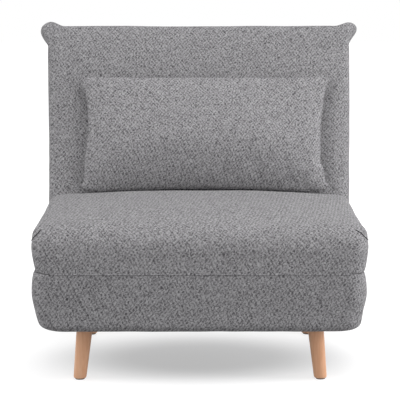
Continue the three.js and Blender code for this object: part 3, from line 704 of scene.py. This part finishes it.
def tweed(name, look, brightness=1.0):
    """Salt-and-pepper tweed: flecks of dark and light yarn, soft mottling and a yarn relief."""
    nodes = Nodes(name)
    scale = 1 / look.grain
    wander = nodes.noise(1.0 / look.weave, 1.0, output="Color")
    bent = nodes.vector_maths("MULTIPLY_ADD", wander, (look.weave * 1.2,) * 3)
    nodes.link(nodes.where, bent.inputs[2])
    flecks = nodes.cells(scale, bent.outputs["Vector"])
    split = nodes.add("ShaderNodeSeparateColor")
    nodes.link(flecks.outputs["Color"], split.inputs["Color"])
    fibre = nodes.noise(scale * 3.6, 2.0, roughness=0.65)
    mottle = nodes.noise(scale * 0.23, 3.0, roughness=0.6)
    weave = nodes.weave(bent.outputs["Vector"], look.weave)
    level = nodes.mixed(
        (split.outputs["Red"], TWEED["fleck"]), (fibre, TWEED["fibre"]), (weave, TWEED["weave"]),
        (nodes.maths("SUBTRACT", mottle, 0.5), TWEED["mottle"]))
    level = nodes.maths("ADD", level, TWEED["start"])
    dark, light = tuple(look.dark_yarn), tuple(look.light_yarn)
    middle = tuple((a + b) / 2 for a, b in zip(dark, light))
    color = nodes.ramp(level, [
        (0.10, shade(dark, 0.72 * brightness)), (0.30, shade(dark, brightness)),
        (0.52, shade(middle, brightness)), (0.88, shade(light, brightness))])
    height = nodes.maths("SUBTRACT", nodes.maths("MULTIPLY", fibre, 0.5), flecks.outputs["Distance"])
    nodes.relief(height, look.relief, look.grain * 0.35)
    rough = nodes.maths("ADD", nodes.maths("MULTIPLY", fibre, 0.12), 0.86)
    return nodes.finish(color, rough, sheen=0.08, specular=0.18)


def seam_fabric(look):
    """Fabric folded down into a seam, coloured dark as painted shade, with the small pulls of the stitches."""
    nodes = Nodes("seam_fold_painted_shade")
    stitches = nodes.cells(1 / 0.004)
    color = nodes.ramp(stitches.outputs["Distance"], [
        (0.0, shade(tuple(look.seam_painted_shade), 1.25)), (0.7, tuple(look.seam_painted_shade))])
    nodes.relief(stitches.outputs["Distance"], 0.5, 0.0006)
    return nodes.finish(color, 0.95, specular=0.1)


def beech(name, look, along=(1.0, 1.0, 0.08)):
    """Clear-lacquered beech with fine grain along one direction."""
    nodes = Nodes(name)
    path = nodes.stretched(along)
    bands = nodes.noise(85.0, 3.0, path, 0.55)
    pores = nodes.noise(620.0, 2.0, nodes.stretched(tuple(0.5 * v for v in along)), 0.6)
    level = nodes.mixed((bands, 0.75), (pores, 0.25))
    color = nodes.ramp(level, [(0.30, tuple(look.late_wood)), (0.66, tuple(look.early_wood))])
    nodes.relief(level, 0.25, 0.0004)
    rough = nodes.maths("ADD", nodes.maths("MULTIPLY", pores, 0.18), 0.38)
    return nodes.finish(color, rough, specular=0.4)


def plain(name, color, roughness, metallic=0.0, specular=0.5, grain=400.0, spread=0.12, relief=0.15):
    """A finish with a fine variation of its colour, roughness and surface."""
    nodes = Nodes(name)
    fine = nodes.noise(grain, 3.0, roughness=0.6)
    tone = nodes.ramp(fine, [(0.3, shade(color, 1 - spread)), (0.7, shade(color, 1 + spread))])
    nodes.relief(fine, relief, 0.0004)
    rough = nodes.maths("ADD", nodes.maths("MULTIPLY", fine, 0.2), roughness - 0.1)
    return nodes.finish(tone, rough, metallic, specular=specular)


def spunbond(name):
    """Dark spunbond lining with its grid of pressed points."""
    nodes = Nodes(name)
    points = nodes.cells(1 / 0.0016)
    points.inputs["Randomness"].default_value = 0.15
    fine = nodes.noise(900.0, 2.0)
    color = nodes.ramp(nodes.maths("ADD", points.outputs["Distance"], nodes.maths("MULTIPLY", fine, 0.3)), [
        (0.25, linear(30, 30, 32)), (0.75, linear(54, 54, 57))])
    nodes.relief(points.outputs["Distance"], 0.35, 0.0003)
    return nodes.finish(color, 0.9, specular=0.2)


_materials = {}


def finish_for(slot):
    """The shared material of one slot of the record, made once."""
    if slot in _materials:
        return _materials[slot]
    scene = bpy.context.scene
    fabric, wood = scene.chair_bed_fabric, scene.chair_bed_wood
    makers = {
        "upholstery": lambda: tweed("grey_tweed", fabric),
        "pillow_fabric": lambda: tweed("grey_tweed_pillow", fabric, 1.05),
        # The seam finish is a dark painted shade for the lines laid along the seams
        "seam": lambda: seam_fabric(fabric),
        "leg_wood": lambda: beech("beech_legs", wood),
        "slat_wood": lambda: beech("beech_slats", wood, (0.08, 1.0, 1.0)),
        "foam": lambda: plain("cut_foam", linear(228, 221, 196), 0.9, specular=0.1, grain=700.0, relief=0.4),
        "lining": lambda: spunbond("underside_lining"),
        "steel": lambda: plain("powder_coated_steel", linear(50, 52, 54), 0.5, 0.3, grain=900.0),
        "zinc": lambda: plain("zinc_plated_steel", linear(186, 189, 193), 0.38, 1.0, grain=260.0),
        "rubber": lambda: plain("black_rubber", linear(34, 34, 35), 0.85, specular=0.3),
        "glide": lambda: plain("moulded_glide", linear(60, 60, 62), 0.6),
        "zip_tape": lambda: plain("zip_tape", linear(104, 102, 104), 0.75, grain=1200.0, relief=0.5),
    }
    _materials[slot] = makers[slot]()
    return _materials[slot]


# Cushion builders

def seat_rings(layer, counts):
    """Rings of a seat layer from its bottom to its top, with their four sides."""
    height = layer["top"] - layer["bottom"]
    low, high = max(layer["low"]), max(layer["high"])
    between = max(3, round((height - low - high) / RING_SPACING))
    levels = edge_levels(low) + list(np.linspace(low, height - high, between)[1:-1])
    levels += [height - d for d in reversed(edge_levels(high))]
    rings = []
    for rise in levels:
        share = rise / height
        drawn = (
            layer["taper"][0] * max(0, 1 - share / 0.6) ** 1.4
            + layer["taper"][1] * max(0, 2 * share - 1) ** 2)
        inset = [
            edge_inset(rise, layer["low"][k]) + edge_inset(height - rise, layer["high"][k]) for k in range(3)]
        half = SEAT_HALF - inset[1] - drawn
        sides = seat_outline(
            half, layer["front"] + inset[0], layer["rear"] - inset[2], SEAT_CORNER, counts)
        for side in sides:
            side[:, 0] *= 1 - layer["right_draw"] * min(1, 3 * share) / SEAT_HALF * (side[:, 0] > 0)
        rings.append([
            np.column_stack([side, np.full(len(side), layer["bottom"] + rise)]) for side in sides])
    return rings


def seat_crown(points, layer):
    """Raises the top face to its crown, softly towards every edge."""
    half = SEAT_HALF - layer["high"][1]
    front, rear = layer["front"] + layer["high"][0], layer["rear"] - layer["high"][2]
    across = np.clip((half - np.abs(points[..., 0])) / SEAT_CROWN_RUNS["side"], 0, 1)
    along = np.clip(np.minimum((points[..., 1] - front) / SEAT_CROWN_RUNS["front"],
                               (rear - points[..., 1]) / SEAT_CROWN_RUNS["rear"]), 0, 1)
    points[..., 2] += SEAT_CROWN * (1 - (1 - across) ** 2) * (1 - (1 - along) ** 2)
    return points


def cushion_counts(width, depth, spacing):
    return max(8, round(width / spacing)), max(8, round(depth / spacing))


def build_seat_layer(name, layer, sizes, crowned=False, hollow=None):
    """A seat layer as one closed padded skin."""
    wide, deep = cushion_counts(2 * SEAT_HALF, layer["rear"], sizes.spacing)
    rings = seat_rings(layer, (wide, deep, wide, deep))
    bottom = patch(rings[0], (wide, deep))
    if hollow:
        inside = np.minimum(hollow["half"] - np.abs(bottom[..., 0]),
                            np.minimum(bottom[..., 1] - hollow["front"], hollow["rear"] - bottom[..., 1]))
        bottom[..., 2] += hollow["depth"] * np.clip(inside / hollow["edge"], 0, 1)
    top = patch(rings[-1], (wide, deep))
    if crowned:
        top = seat_crown(top, layer)
    points, faces = closed_skin([ring_of(sides) for sides in rings], (bottom, top), (wide, deep))
    return new_object(name, from_fold(points), faces, finish_for("upholstery"))


def stitched_weight(points, levels, width):
    """Weight that holds the fabric near given heights."""
    weight = np.zeros(len(points))
    for level in levels:
        weight = np.maximum(weight, np.clip(1.4 - np.abs(points[:, 2] - level) / width, 0, 1))
    return weight


def back_sides(inset, ear_share, counts):
    """Four sides of the back's outline at one depth: across and up."""
    low, top = BACK_START + inset, BACK_LENGTH - inset
    half_low, half_top = BACK_HALF_LOW - inset, BACK_HALF_TOP - inset
    radius = BACK_CORNER

    def low_corner(start, end):
        return arc(half_low - radius, low + radius, radius, start, end)

    def top_corner(ear):
        curve = smooth_path(ear, 6)
        share = np.linspace(0, math.pi / 2, len(curve))
        plain_x = half_top - radius * (1 - np.cos(share))
        plain_z = top - radius * (1 - np.sin(share))
        lobe_x, lobe_z = half_top + curve[:, 0], top + curve[:, 1]
        return np.column_stack([
            plain_x + (lobe_x - plain_x) * ear_share, plain_z + (lobe_z - plain_z) * ear_share])

    def mirrored(path):
        return [(-x, z) for x, z in path][::-1]

    right, left = top_corner(EAR_RIGHT), top_corner(EAR_LEFT)
    split = len(right) // 2
    left = np.column_stack([-left[:, 0], left[:, 1]])[::-1]
    paths = [
        mirrored(low_corner(-90, -45)) + low_corner(-90, -45),
        low_corner(-45, 0) + list(map(tuple, right[:split + 1])),
        list(map(tuple, right[split:])) + list(map(tuple, left[:split + 1])),
        list(map(tuple, left[split:])) + mirrored(low_corner(-45, 0)),
    ]
    return [resample(path, count) for path, count in zip(paths, counts)]


def build_back(sizes):
    """The back as one closed padded skin, from its face to its rear."""
    wide, tall = cushion_counts(2 * BACK_HALF_TOP, BACK_LENGTH, sizes.spacing)
    counts = (wide, tall, wide, tall)
    levels = edge_levels(BACK_FACE_EDGE) + list(
        np.linspace(BACK_FACE_EDGE, BACK_DEPTH - BACK_REAR_EDGE, 8)[1:-1])
    levels += [BACK_DEPTH - d for d in reversed(edge_levels(BACK_REAR_EDGE))]
    rings = []
    for depth in levels:
        inset = edge_inset(depth, BACK_FACE_EDGE) + edge_inset(BACK_DEPTH - depth, BACK_REAR_EDGE)
        share = math.sin(math.pi * depth / BACK_DEPTH) ** EAR_FULLNESS
        rings.append([
            np.column_stack([side[:, 0], np.full(len(side), depth), side[:, 1]])
            for side in back_sides(inset, share, counts)])
    face, rear = patch(rings[0], (wide, tall)), patch(rings[-1], (wide, tall))
    across = np.clip((BACK_HALF_LOW - BACK_FACE_EDGE - np.abs(face[..., 0])) / BACK_CROWN_RUN, 0, 1)
    up = np.clip(np.minimum(face[..., 2] - BACK_START - BACK_FACE_EDGE,
                            BACK_LENGTH - BACK_FACE_EDGE - face[..., 2]) / BACK_CROWN_RUN, 0, 1)
    face[..., 1] -= BACK_CROWN * (1 - (1 - across) ** 2) * (1 - (1 - up) ** 2)
    points, faces = closed_skin([ring_of(sides) for sides in rings], (face, rear), (wide, tall))
    placed = from_back(*points.T)
    return new_object("back_cushion", placed, [quad[::-1] for quad in faces], finish_for("upholstery"))


def build_pillow(sizes):
    """The loose pillow: two crowned faces that meet in a knife edge."""
    wide, tall = cushion_counts(2 * PILLOW_HALF_WIDTH, 2 * PILLOW_HALF_HEIGHT, sizes.spacing * 0.85)
    u, v = np.meshgrid(np.linspace(0, 1, wide + 1), np.linspace(0, 1, tall + 1))
    wave_u, wave_v = np.sin(math.pi * u), np.sin(math.pi * v)
    draws = [np.interp(v, *np.transpose(smooth_path(side, 6))) for side in (PILLOW_LEFT, PILLOW_RIGHT)]
    ends = (-PILLOW_HALF_WIDTH + draws[0], PILLOW_HALF_WIDTH - draws[1])
    across = PILLOW_MIDDLE[0] + ends[0] + (ends[1] - ends[0]) * u
    up = PILLOW_MIDDLE[2] + PILLOW_HALF_HEIGHT * (2 * v - 1)
    up += wave_u * (PILLOW_EDGE_DRAW["bottom"] * (1 - v) - PILLOW_EDGE_DRAW["top"] * v)
    near_side = np.exp(-((1 - np.abs(2 * u - 1)) / PILLOW_TIP["width"]) ** 2)
    up += PILLOW_TIP["rise"] * near_side * np.clip(1 - v / PILLOW_TIP["height"], 0, 1)
    wave_u, wave_v = np.clip(wave_u, 0, 1), np.clip(wave_v, 0, 1)
    sag = 1 + PILLOW_SAG * np.cos(math.pi * v)
    plump = {-1: wave_u ** 0.42 * wave_v ** (0.82 - 0.27 * v) * sag, 1: (wave_u * wave_v) ** 0.35}
    points, faces = [], []
    place = {}
    for side, bulge in ((-1, -PILLOW_FRONT), (1, PILLOW_REAR)):
        depth = PILLOW_MIDDLE[1] + bulge * plump[side]
        for j in range(tall + 1):
            for i in range(wide + 1):
                rim = i in (0, wide) or j in (0, tall)
                if rim and side > 0:
                    place[(side, j, i)] = place[(-1, j, i)]
                    continue
                place[(side, j, i)] = len(points)
                points.append((across[j, i], depth[j, i], up[j, i]))
        for j in range(tall):
            for i in range(wide):
                quad = [place[(side, *spot)] for spot in ((j, i), (j, i + 1), (j + 1, i + 1), (j + 1, i))]
                faces.append(tuple(quad if side < 0 else quad[::-1]))
    points = np.array(points)
    rim = [place[(-1, *spot)] for spot in ring_indices((wide, tall))]
    placed = from_back(*points.T)
    return new_object("back_pillow", placed, faces, finish_for("pillow_fabric")), rim


# Operators

class BuildOperator(bpy.types.Operator):
    """Base of the operators that build one group of pieces."""
    bl_options = {"REGISTER", "UNDO"}


class CHAIRBED_OT_seat_base(BuildOperator):
    """Build the lower seat layer with its side seams and its underside lining"""
    bl_idname = "chairbed.seat_base"
    bl_label = "Seat Base"

    def execute(self, context):
        sizes = context.scene.chair_bed_sizes
        base = build_seat_layer("seat_base", BASE, sizes, hollow=LINING_HOLLOW)
        points = get_points(base)
        stitched = (BASE["bottom"], BASE_SEAM_HEIGHT, BASE["top"])
        fill_with_padding(base, sizes, stitched_weight(points, stitched, STITCHED_BAND))
        add_waves(base, sizes.waviness, *WAVES["base"])
        seams = []
        for side in (-1, 1):
            path = from_fold(smooth_path([
                (side * SIDE_SEAM_X, y, BASE_SEAM_HEIGHT) for y in np.linspace(0.05, 0.57, 24)], 4))
            press_groove(base, path, *BASE_SEAM_GROOVE)
            seams.append((side, path))
        keep_within(base, 2, BASE["bottom"], BASE["top"])
        keep_behind(base, FOLD.y + FOLD_GAP)
        subdivide_once(base)
        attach(base, "base")
        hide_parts("base_cover", "base_foam")
        # The side seam lines are thin dark tubes: painted shade along the seam grooves
        for side, path in seams:
            name = "base_side_seam_shade_" + ("right" if side > 0 else "left")
            seam_thread(name, "base", base, path, finish_for("seam"))
        self.build_lining()
        self.build_tape()
        return {"FINISHED"}

    def build_lining(self):
        """The underside lining, stapled at its rim and sagging a little."""
        low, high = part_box("base_lining")
        width, depth = high[0] - low[0], high[1] - low[1]
        wide, deep = 52, 36
        points, faces = [], []
        for j in range(deep + 1):
            for i in range(wide + 1):
                u, v = i / wide, j / deep
                sag = LINING_SAG * math.sin(math.pi * u) * math.sin(math.pi * v)
                points.append((low[0] + width * u, low[1] + depth * v, low[2] + 0.0002 - sag))
        for j in range(deep):
            for i in range(wide):
                a = j * (wide + 1) + i
                faces.append((a, a + wide + 1, a + wide + 2, a + 1))
        lining = new_object("underside_lining", points, faces, finish_for("lining"))
        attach(lining, "base")
        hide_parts("base_lining")

    def build_tape(self):
        """The tape along the fold axis, as a soft rounded strip that lies nearly flush in the fold."""
        low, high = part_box("fold_tape")
        stations, facets = 240, 10
        front = FOLD.y + 0.0002
        middle_y, middle_z = (front + high[1]) / 2, (low[2] + high[2]) / 2
        half_y, half_z = (high[1] - front) / 2, (high[2] - low[2]) / 2
        points = []
        for k in range(stations + 1):
            x = low[0] + (high[0] - low[0]) * k / stations
            for i in range(facets):
                angle = 2 * math.pi * i / facets
                points.append((
                    x, middle_y + half_y * math.cos(angle), middle_z + half_z * math.sin(angle)))
        tape = new_object(
            "fold_seam_tape", points, tube_faces(stations + 1, facets), finish_for("upholstery"))
        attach(tape, "base")
        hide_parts("fold_tape")


class CHAIRBED_OT_seat_flap(BuildOperator):
    """Build the upper seat layer with its crown, its corner darts and its side seams"""
    bl_idname = "chairbed.seat_flap"
    bl_label = "Seat Flap"

    def execute(self, context):
        sizes = context.scene.chair_bed_sizes
        flap = build_seat_layer("seat_flap_cushion", FLAP, sizes, crowned=True)
        points = get_points(flap)
        fill_with_padding(flap, sizes, stitched_weight(points, (FLAP["bottom"],), STITCHED_BAND))
        add_waves(flap, sizes.waviness, *WAVES["flap"])
        seams = []
        for side, dart in FLAP_DARTS.items():
            path = from_fold(smooth_path([(side * x, y, z) for x, y, z in dart + FLAP_SEAM_RUN], 6))
            press_groove(flap, path, *FLAP_SEAM_GROOVE)
            press_groove(flap, path[:4], *DART_GROOVE)
            seams.append((side, path))
        keep_within(flap, 2, FLAP["bottom"])
        keep_behind(flap, FOLD.y + FOLD_GAP)
        subdivide_once(flap)
        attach(flap, "seat_flap")
        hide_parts("flap_cover", "flap_foam_seat", "flap_foam_bed")
        # The side seam lines are thin dark tubes: painted shade along the seam grooves and darts
        for side, path in seams:
            name = "flap_side_seam_shade_" + ("right" if side > 0 else "left")
            seam_thread(name, "seat_flap", flap, path, finish_for("seam"),
                        radius=0.0017, sink=0.1)
        return {"FINISHED"}


class CHAIRBED_OT_backrest(BuildOperator):
    """Build the reclining back with its two soft ears and its creases"""
    bl_idname = "chairbed.backrest"
    bl_label = "Backrest"

    def execute(self, context):
        sizes = context.scene.chair_bed_sizes
        back = build_back(sizes)
        points = get_points(back)
        local = points - np.array(HINGE)
        across, up = local[:, 0], local[:, 1] * math.sin(LEAN) + local[:, 2] * math.cos(LEAN)
        rim = np.clip(1.2 - np.abs(np.abs(across) - BACK_HALF_TOP) / 0.02, 0, 1) * np.clip(
            1.2 - np.abs(up - BACK_LENGTH) / 0.05, 0, 1)
        fill_with_padding(back, sizes, np.clip(rim, 0, 1))
        add_waves(back, sizes.waviness, *WAVES["back"])
        for line in BACK_CREASES:
            path = smooth_path(line, 8)
            press_groove(back, from_back(*path.T), *BACK_CREASE_GROOVE)
        for side in (-1, 1):
            fold = smooth_path([(side * x, y, z) for x, y, z in EAR_FOLD], 8)
            press_groove(back, from_back(*fold.T), *EAR_FOLD_GROOVE)
        for line, depth, width in self.pillow_nest():
            press_groove(back, line, depth, width)
        subdivide_once(back)
        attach(back, "backrest")
        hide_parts("back_cover", "back_foam_front", "back_foam_rear")
        rear_seam = [(x, BACK_DEPTH, 0.050) for x in np.linspace(-0.40, 0.40, 40)]
        path = smooth_path(rear_seam, 3)
        # The rear seam line is a thin dark tube: painted shade along the seam
        seam_thread("back_rear_seam_shade", "backrest", back, from_back(*path.T),
                    finish_for("seam"))
        return {"FINISHED"}

    def pillow_nest(self):
        """The two lines beside the pillow's sides along which the pillow dents the back."""
        middle, _, height = PILLOW_MIDDLE
        lines = []
        for sign, side, out, depth, width in (
                (-1, PILLOW_LEFT, 0.014, 0.007, 0.026), (1, PILLOW_RIGHT, 0.0, 0.007, 0.018)):
            line = np.array([
                (middle + sign * (PILLOW_HALF_WIDTH - draw + out), height + (2 * v - 1) * PILLOW_HALF_HEIGHT)
                for v, draw in side[2:-1]])
            lines.append((from_back(line[:, 0], np.full(len(line), -0.003), line[:, 1]), depth, width))
        return lines


class CHAIRBED_OT_pillow(BuildOperator):
    """Build the loose back pillow with its knife-edge seam"""
    bl_idname = "chairbed.pillow"
    bl_label = "Back Pillow"

    def execute(self, context):
        sizes = context.scene.chair_bed_sizes
        pillow, rim = build_pillow(sizes)
        pinned = np.zeros(len(pillow.data.vertices))
        pinned[rim] = 1.0
        fill_with_padding(pillow, sizes, pinned, reach=PILLOW_SWELL)
        add_waves(pillow, sizes.waviness, *WAVES["pillow"])
        for line, depth in self.corner_creases():
            press_groove(pillow, line, depth, PILLOW_CREASE_WIDTH)
        edge = get_points(pillow)[rim]
        path = np.concatenate([edge, edge[:2]])
        subdivide_once(pillow)
        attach(pillow, "pillow")
        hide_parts("pillow_cover", "pillow_filling")
        seam_thread("pillow_edge_seam", "pillow", pillow, path, finish_for("pillow_fabric"),
                    radius=0.0016, sink=0.2)
        return {"FINISHED"}

    def corner_creases(self):
        """Short creases that run inwards from the corners over the pillow's front."""
        lines = []
        for side in (-1, 1):
            for end in (-1, 1):
                for lean, reach, press in PILLOW_CREASES:
                    if press < 0 < end:
                        continue
                    shares = np.linspace(0.18, 1, 8) * reach
                    x = PILLOW_MIDDLE[0] + side * (PILLOW_HALF_WIDTH - shares * math.cos(lean) - 0.006)
                    up = PILLOW_MIDDLE[2] + end * (PILLOW_HALF_HEIGHT - shares * math.sin(lean) - 0.004)
                    depth = PILLOW_MIDDLE[1] - 0.6 * shares
                    lines.append((from_back(x, depth, up), press))
        return lines


class CHAIRBED_OT_wooden_legs(BuildOperator):
    """Build the four turned legs with softened feet"""
    bl_idname = "chairbed.wooden_legs"
    bl_label = "Wooden Legs"

    def execute(self, context):
        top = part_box("base_lining")[0][2]
        for row, depth in LEG_ROWS.items():
            for side, sign in (("left", -1), ("right", 1)):
                leg = self.build_leg(f"{row}_{side}_leg", sign, depth + FOLD.y, top)
                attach(leg, "base")
                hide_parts(f"{row}_leg_{side}")
        return {"FINISHED"}

    def build_leg(self, name, sign, y, top):
        """One tapered round leg as a stack of level rings, closed at both ends."""
        facets, rings = 48, []
        height = top - LEG_FOOT_Z
        for angle in np.linspace(0, math.pi / 2, 6):
            drop = LEG_FOOT_ROUNDING * (1 - math.sin(angle))
            rings.append((drop, LEG_FOOT_RADIUS - LEG_FOOT_ROUNDING * (1 - math.cos(angle))))
        rings.sort()
        for share in np.linspace(0.05, 1, 16):
            rise = LEG_FOOT_ROUNDING + share * (height - LEG_FOOT_ROUNDING)
            rings.append((rise, LEG_FOOT_RADIUS + (LEG_TOP_RADIUS - LEG_FOOT_RADIUS) * rise / height))
        points = []
        for rise, radius in rings:
            x = sign * (LEG_FOOT_X + (LEG_TOP_X - LEG_FOOT_X) * rise / height)
            for i in range(facets):
                angle = 2 * math.pi * i / facets
                points.append((x + radius * math.cos(angle), y + radius * math.sin(angle), LEG_FOOT_Z + rise))
        return new_object(name, points, tube_faces(len(rings), facets, turned=True), finish_for("leg_wood"))


class CHAIRBED_OT_hardware(BuildOperator):
    """Give each frame, slat, hinge, bolt, glide and zip its finish"""
    bl_idname = "chairbed.hardware"
    bl_label = "Hinges and Frames"

    def execute(self, context):
        slots = {part["node"]: part["material_slot"] for part in frame["record"]["subparts"]}
        for name, node in frame["nodes"].items():
            if name not in slots:
                raise RuntimeError(f"the record names no slot for {name}")
            material = finish_for(slots[name])
            if not node.material_slots:
                node.data.materials.append(material)
            for holder in node.material_slots:
                holder.link = "OBJECT"
                holder.material = material
        return {"FINISHED"}


class CHAIRBED_OT_stage(BuildOperator):
    """Build the pale floor, the soft lamps, the sky and the camera"""
    bl_idname = "chairbed.stage"
    bl_label = "Studio"

    def execute(self, context):
        studio = context.scene.chair_bed_studio
        self.build_floor()
        self.build_lamps(studio)
        self.build_sky(studio)
        self.build_camera(studio)
        return {"FINISHED"}

    def build_floor(self):
        points = [(x * FLOOR_REACH, y * FLOOR_REACH, 0) for x, y in ((-1, -1), (1, -1), (1, 1), (-1, 1))]
        nodes = Nodes("studio_floor")
        tree = nodes.tree
        grain = nodes.ramp(nodes.noise(3.0), [(0.0, linear(158, 158, 159)), (1.0, linear(162, 162, 163))])
        nodes.finish(grain, 0.95, specular=0.0)
        glow = nodes.add("ShaderNodeEmission")
        glow.inputs["Color"].default_value = (1, 1, 1, 1)
        # Painted soft shadow: less glow in an ellipse under the chair, with more glow far out to keep the distant
        # floor white
        under = self.fade(nodes, *FLOOR_GLOW_PAINTED_SHADOW)
        far = self.fade(nodes, *GLOW_FAR)
        level = nodes.maths("MULTIPLY", seen_by_camera(tree), nodes.maths("ADD", under, far))
        nodes.link(level, glow.inputs["Strength"])
        both = nodes.add("ShaderNodeAddShader")
        nodes.link(nodes.shader.outputs[0], both.inputs[0])
        nodes.link(glow.outputs[0], both.inputs[1])
        nodes.link(both.outputs[0], tree.nodes["Material Output"].inputs["Surface"])
        floor = new_object("studio_floor", points, [(0, 1, 2, 3)], nodes.material, smooth=False)

    def fade(self, nodes, middle, scale, limits):
        """A soft step with the distance from a place, from one level to another."""
        shifted = nodes.vector_maths("SUBTRACT", nodes.where, middle).outputs[0]
        scaled = nodes.vector_maths("MULTIPLY", shifted, scale).outputs[0]
        return nodes.step(nodes.vector_maths("LENGTH", scaled).outputs["Value"], limits)

    def build_lamps(self, studio):
        for name, (place, size, share) in LAMPS.items():
            light = bpy.data.lights.new(name, "AREA")
            light.shape = "SQUARE"
            light.size = size
            light.energy = studio.key_power * share
            lamp = bpy.data.objects.new(name, light)
            lamp.location = place
            aim = Vector(LAMP_TARGET) - Vector(place)
            lamp.rotation_euler = aim.to_track_quat("-Z", "Y").to_euler()
            bpy.context.scene.collection.objects.link(lamp)

    def build_sky(self, studio):
        world = bpy.data.worlds.new("studio_sky")
        world.use_nodes = True
        tree = world.node_tree
        tree.nodes.clear()
        soft, white = (tree.nodes.new("ShaderNodeBackground") for _ in range(2))
        for background, strength in ((soft, studio.sky_strength), (white, 1.0)):
            background.inputs["Strength"].default_value = strength
            background.inputs["Color"].default_value = (1, 1, 1, 1)
        mix = tree.nodes.new("ShaderNodeMixShader")
        for source, socket in zip((seen_by_camera(tree), soft.outputs[0], white.outputs[0]), mix.inputs):
            tree.links.new(source, socket)
        output = tree.nodes.new("ShaderNodeOutputWorld")
        tree.links.new(mix.outputs[0], output.inputs["Surface"])
        bpy.context.scene.world = world

    def build_camera(self, studio):
        data = bpy.data.cameras.new("photo_camera")
        data.lens = studio.lens
        data.sensor_width = SENSOR_WIDTH
        camera = bpy.data.objects.new("photo_camera", data)
        camera.location = (CAMERA_X, FOLD.y - studio.distance, studio.height)
        camera.rotation_euler = (math.pi / 2 - studio.pitch, 0, -studio.turn)
        bpy.context.scene.collection.objects.link(camera)
        bpy.context.scene.camera = camera
        bpy.context.scene.view_settings.view_transform = "Standard"


class CHAIRBED_PT_panel(bpy.types.Panel):
    """Sidebar panel with the sizes, looks and build steps"""
    bl_idname = "CHAIRBED_PT_panel"
    bl_label = "Chair Bed"
    bl_space_type = "VIEW_3D"
    bl_region_type = "UI"
    bl_category = "Chair Bed"

    def draw(self, context):
        for group in GROUPS:
            box = self.layout.box()
            holder = getattr(context.scene, group)
            for key in holder.__annotations__:
                box.prop(holder, key)
        for operator in STEPS:
            self.layout.operator(operator.bl_idname)


GROUPS = {
    "chair_bed_sizes": CushionSizes,
    "chair_bed_fabric": FabricLook,
    "chair_bed_wood": WoodLook,
    "chair_bed_studio": StudioLook,
}
STEPS = (
    CHAIRBED_OT_hardware,
    CHAIRBED_OT_seat_base,
    CHAIRBED_OT_seat_flap,
    CHAIRBED_OT_backrest,
    CHAIRBED_OT_pillow,
    CHAIRBED_OT_wooden_legs,
    CHAIRBED_OT_stage,
)
CLASSES = (*GROUPS.values(), *STEPS, CHAIRBED_PT_panel)


def register():
    for item in CLASSES:
        bpy.utils.register_class(item)
    for name, group in GROUPS.items():
        setattr(bpy.types.Scene, name, bpy.props.PointerProperty(type=group))


def unregister():
    for name in GROUPS:
        delattr(bpy.types.Scene, name)
    for item in reversed(CLASSES):
        bpy.utils.unregister_class(item)


def main():
    register()
    bpy.ops.chairbed.hardware()
    bpy.ops.chairbed.seat_base()
    bpy.ops.chairbed.seat_flap()
    bpy.ops.chairbed.backrest()
    bpy.ops.chairbed.pillow()
    bpy.ops.chairbed.wooden_legs()
    bpy.ops.chairbed.stage()


if __name__ == "__main__":
    main()
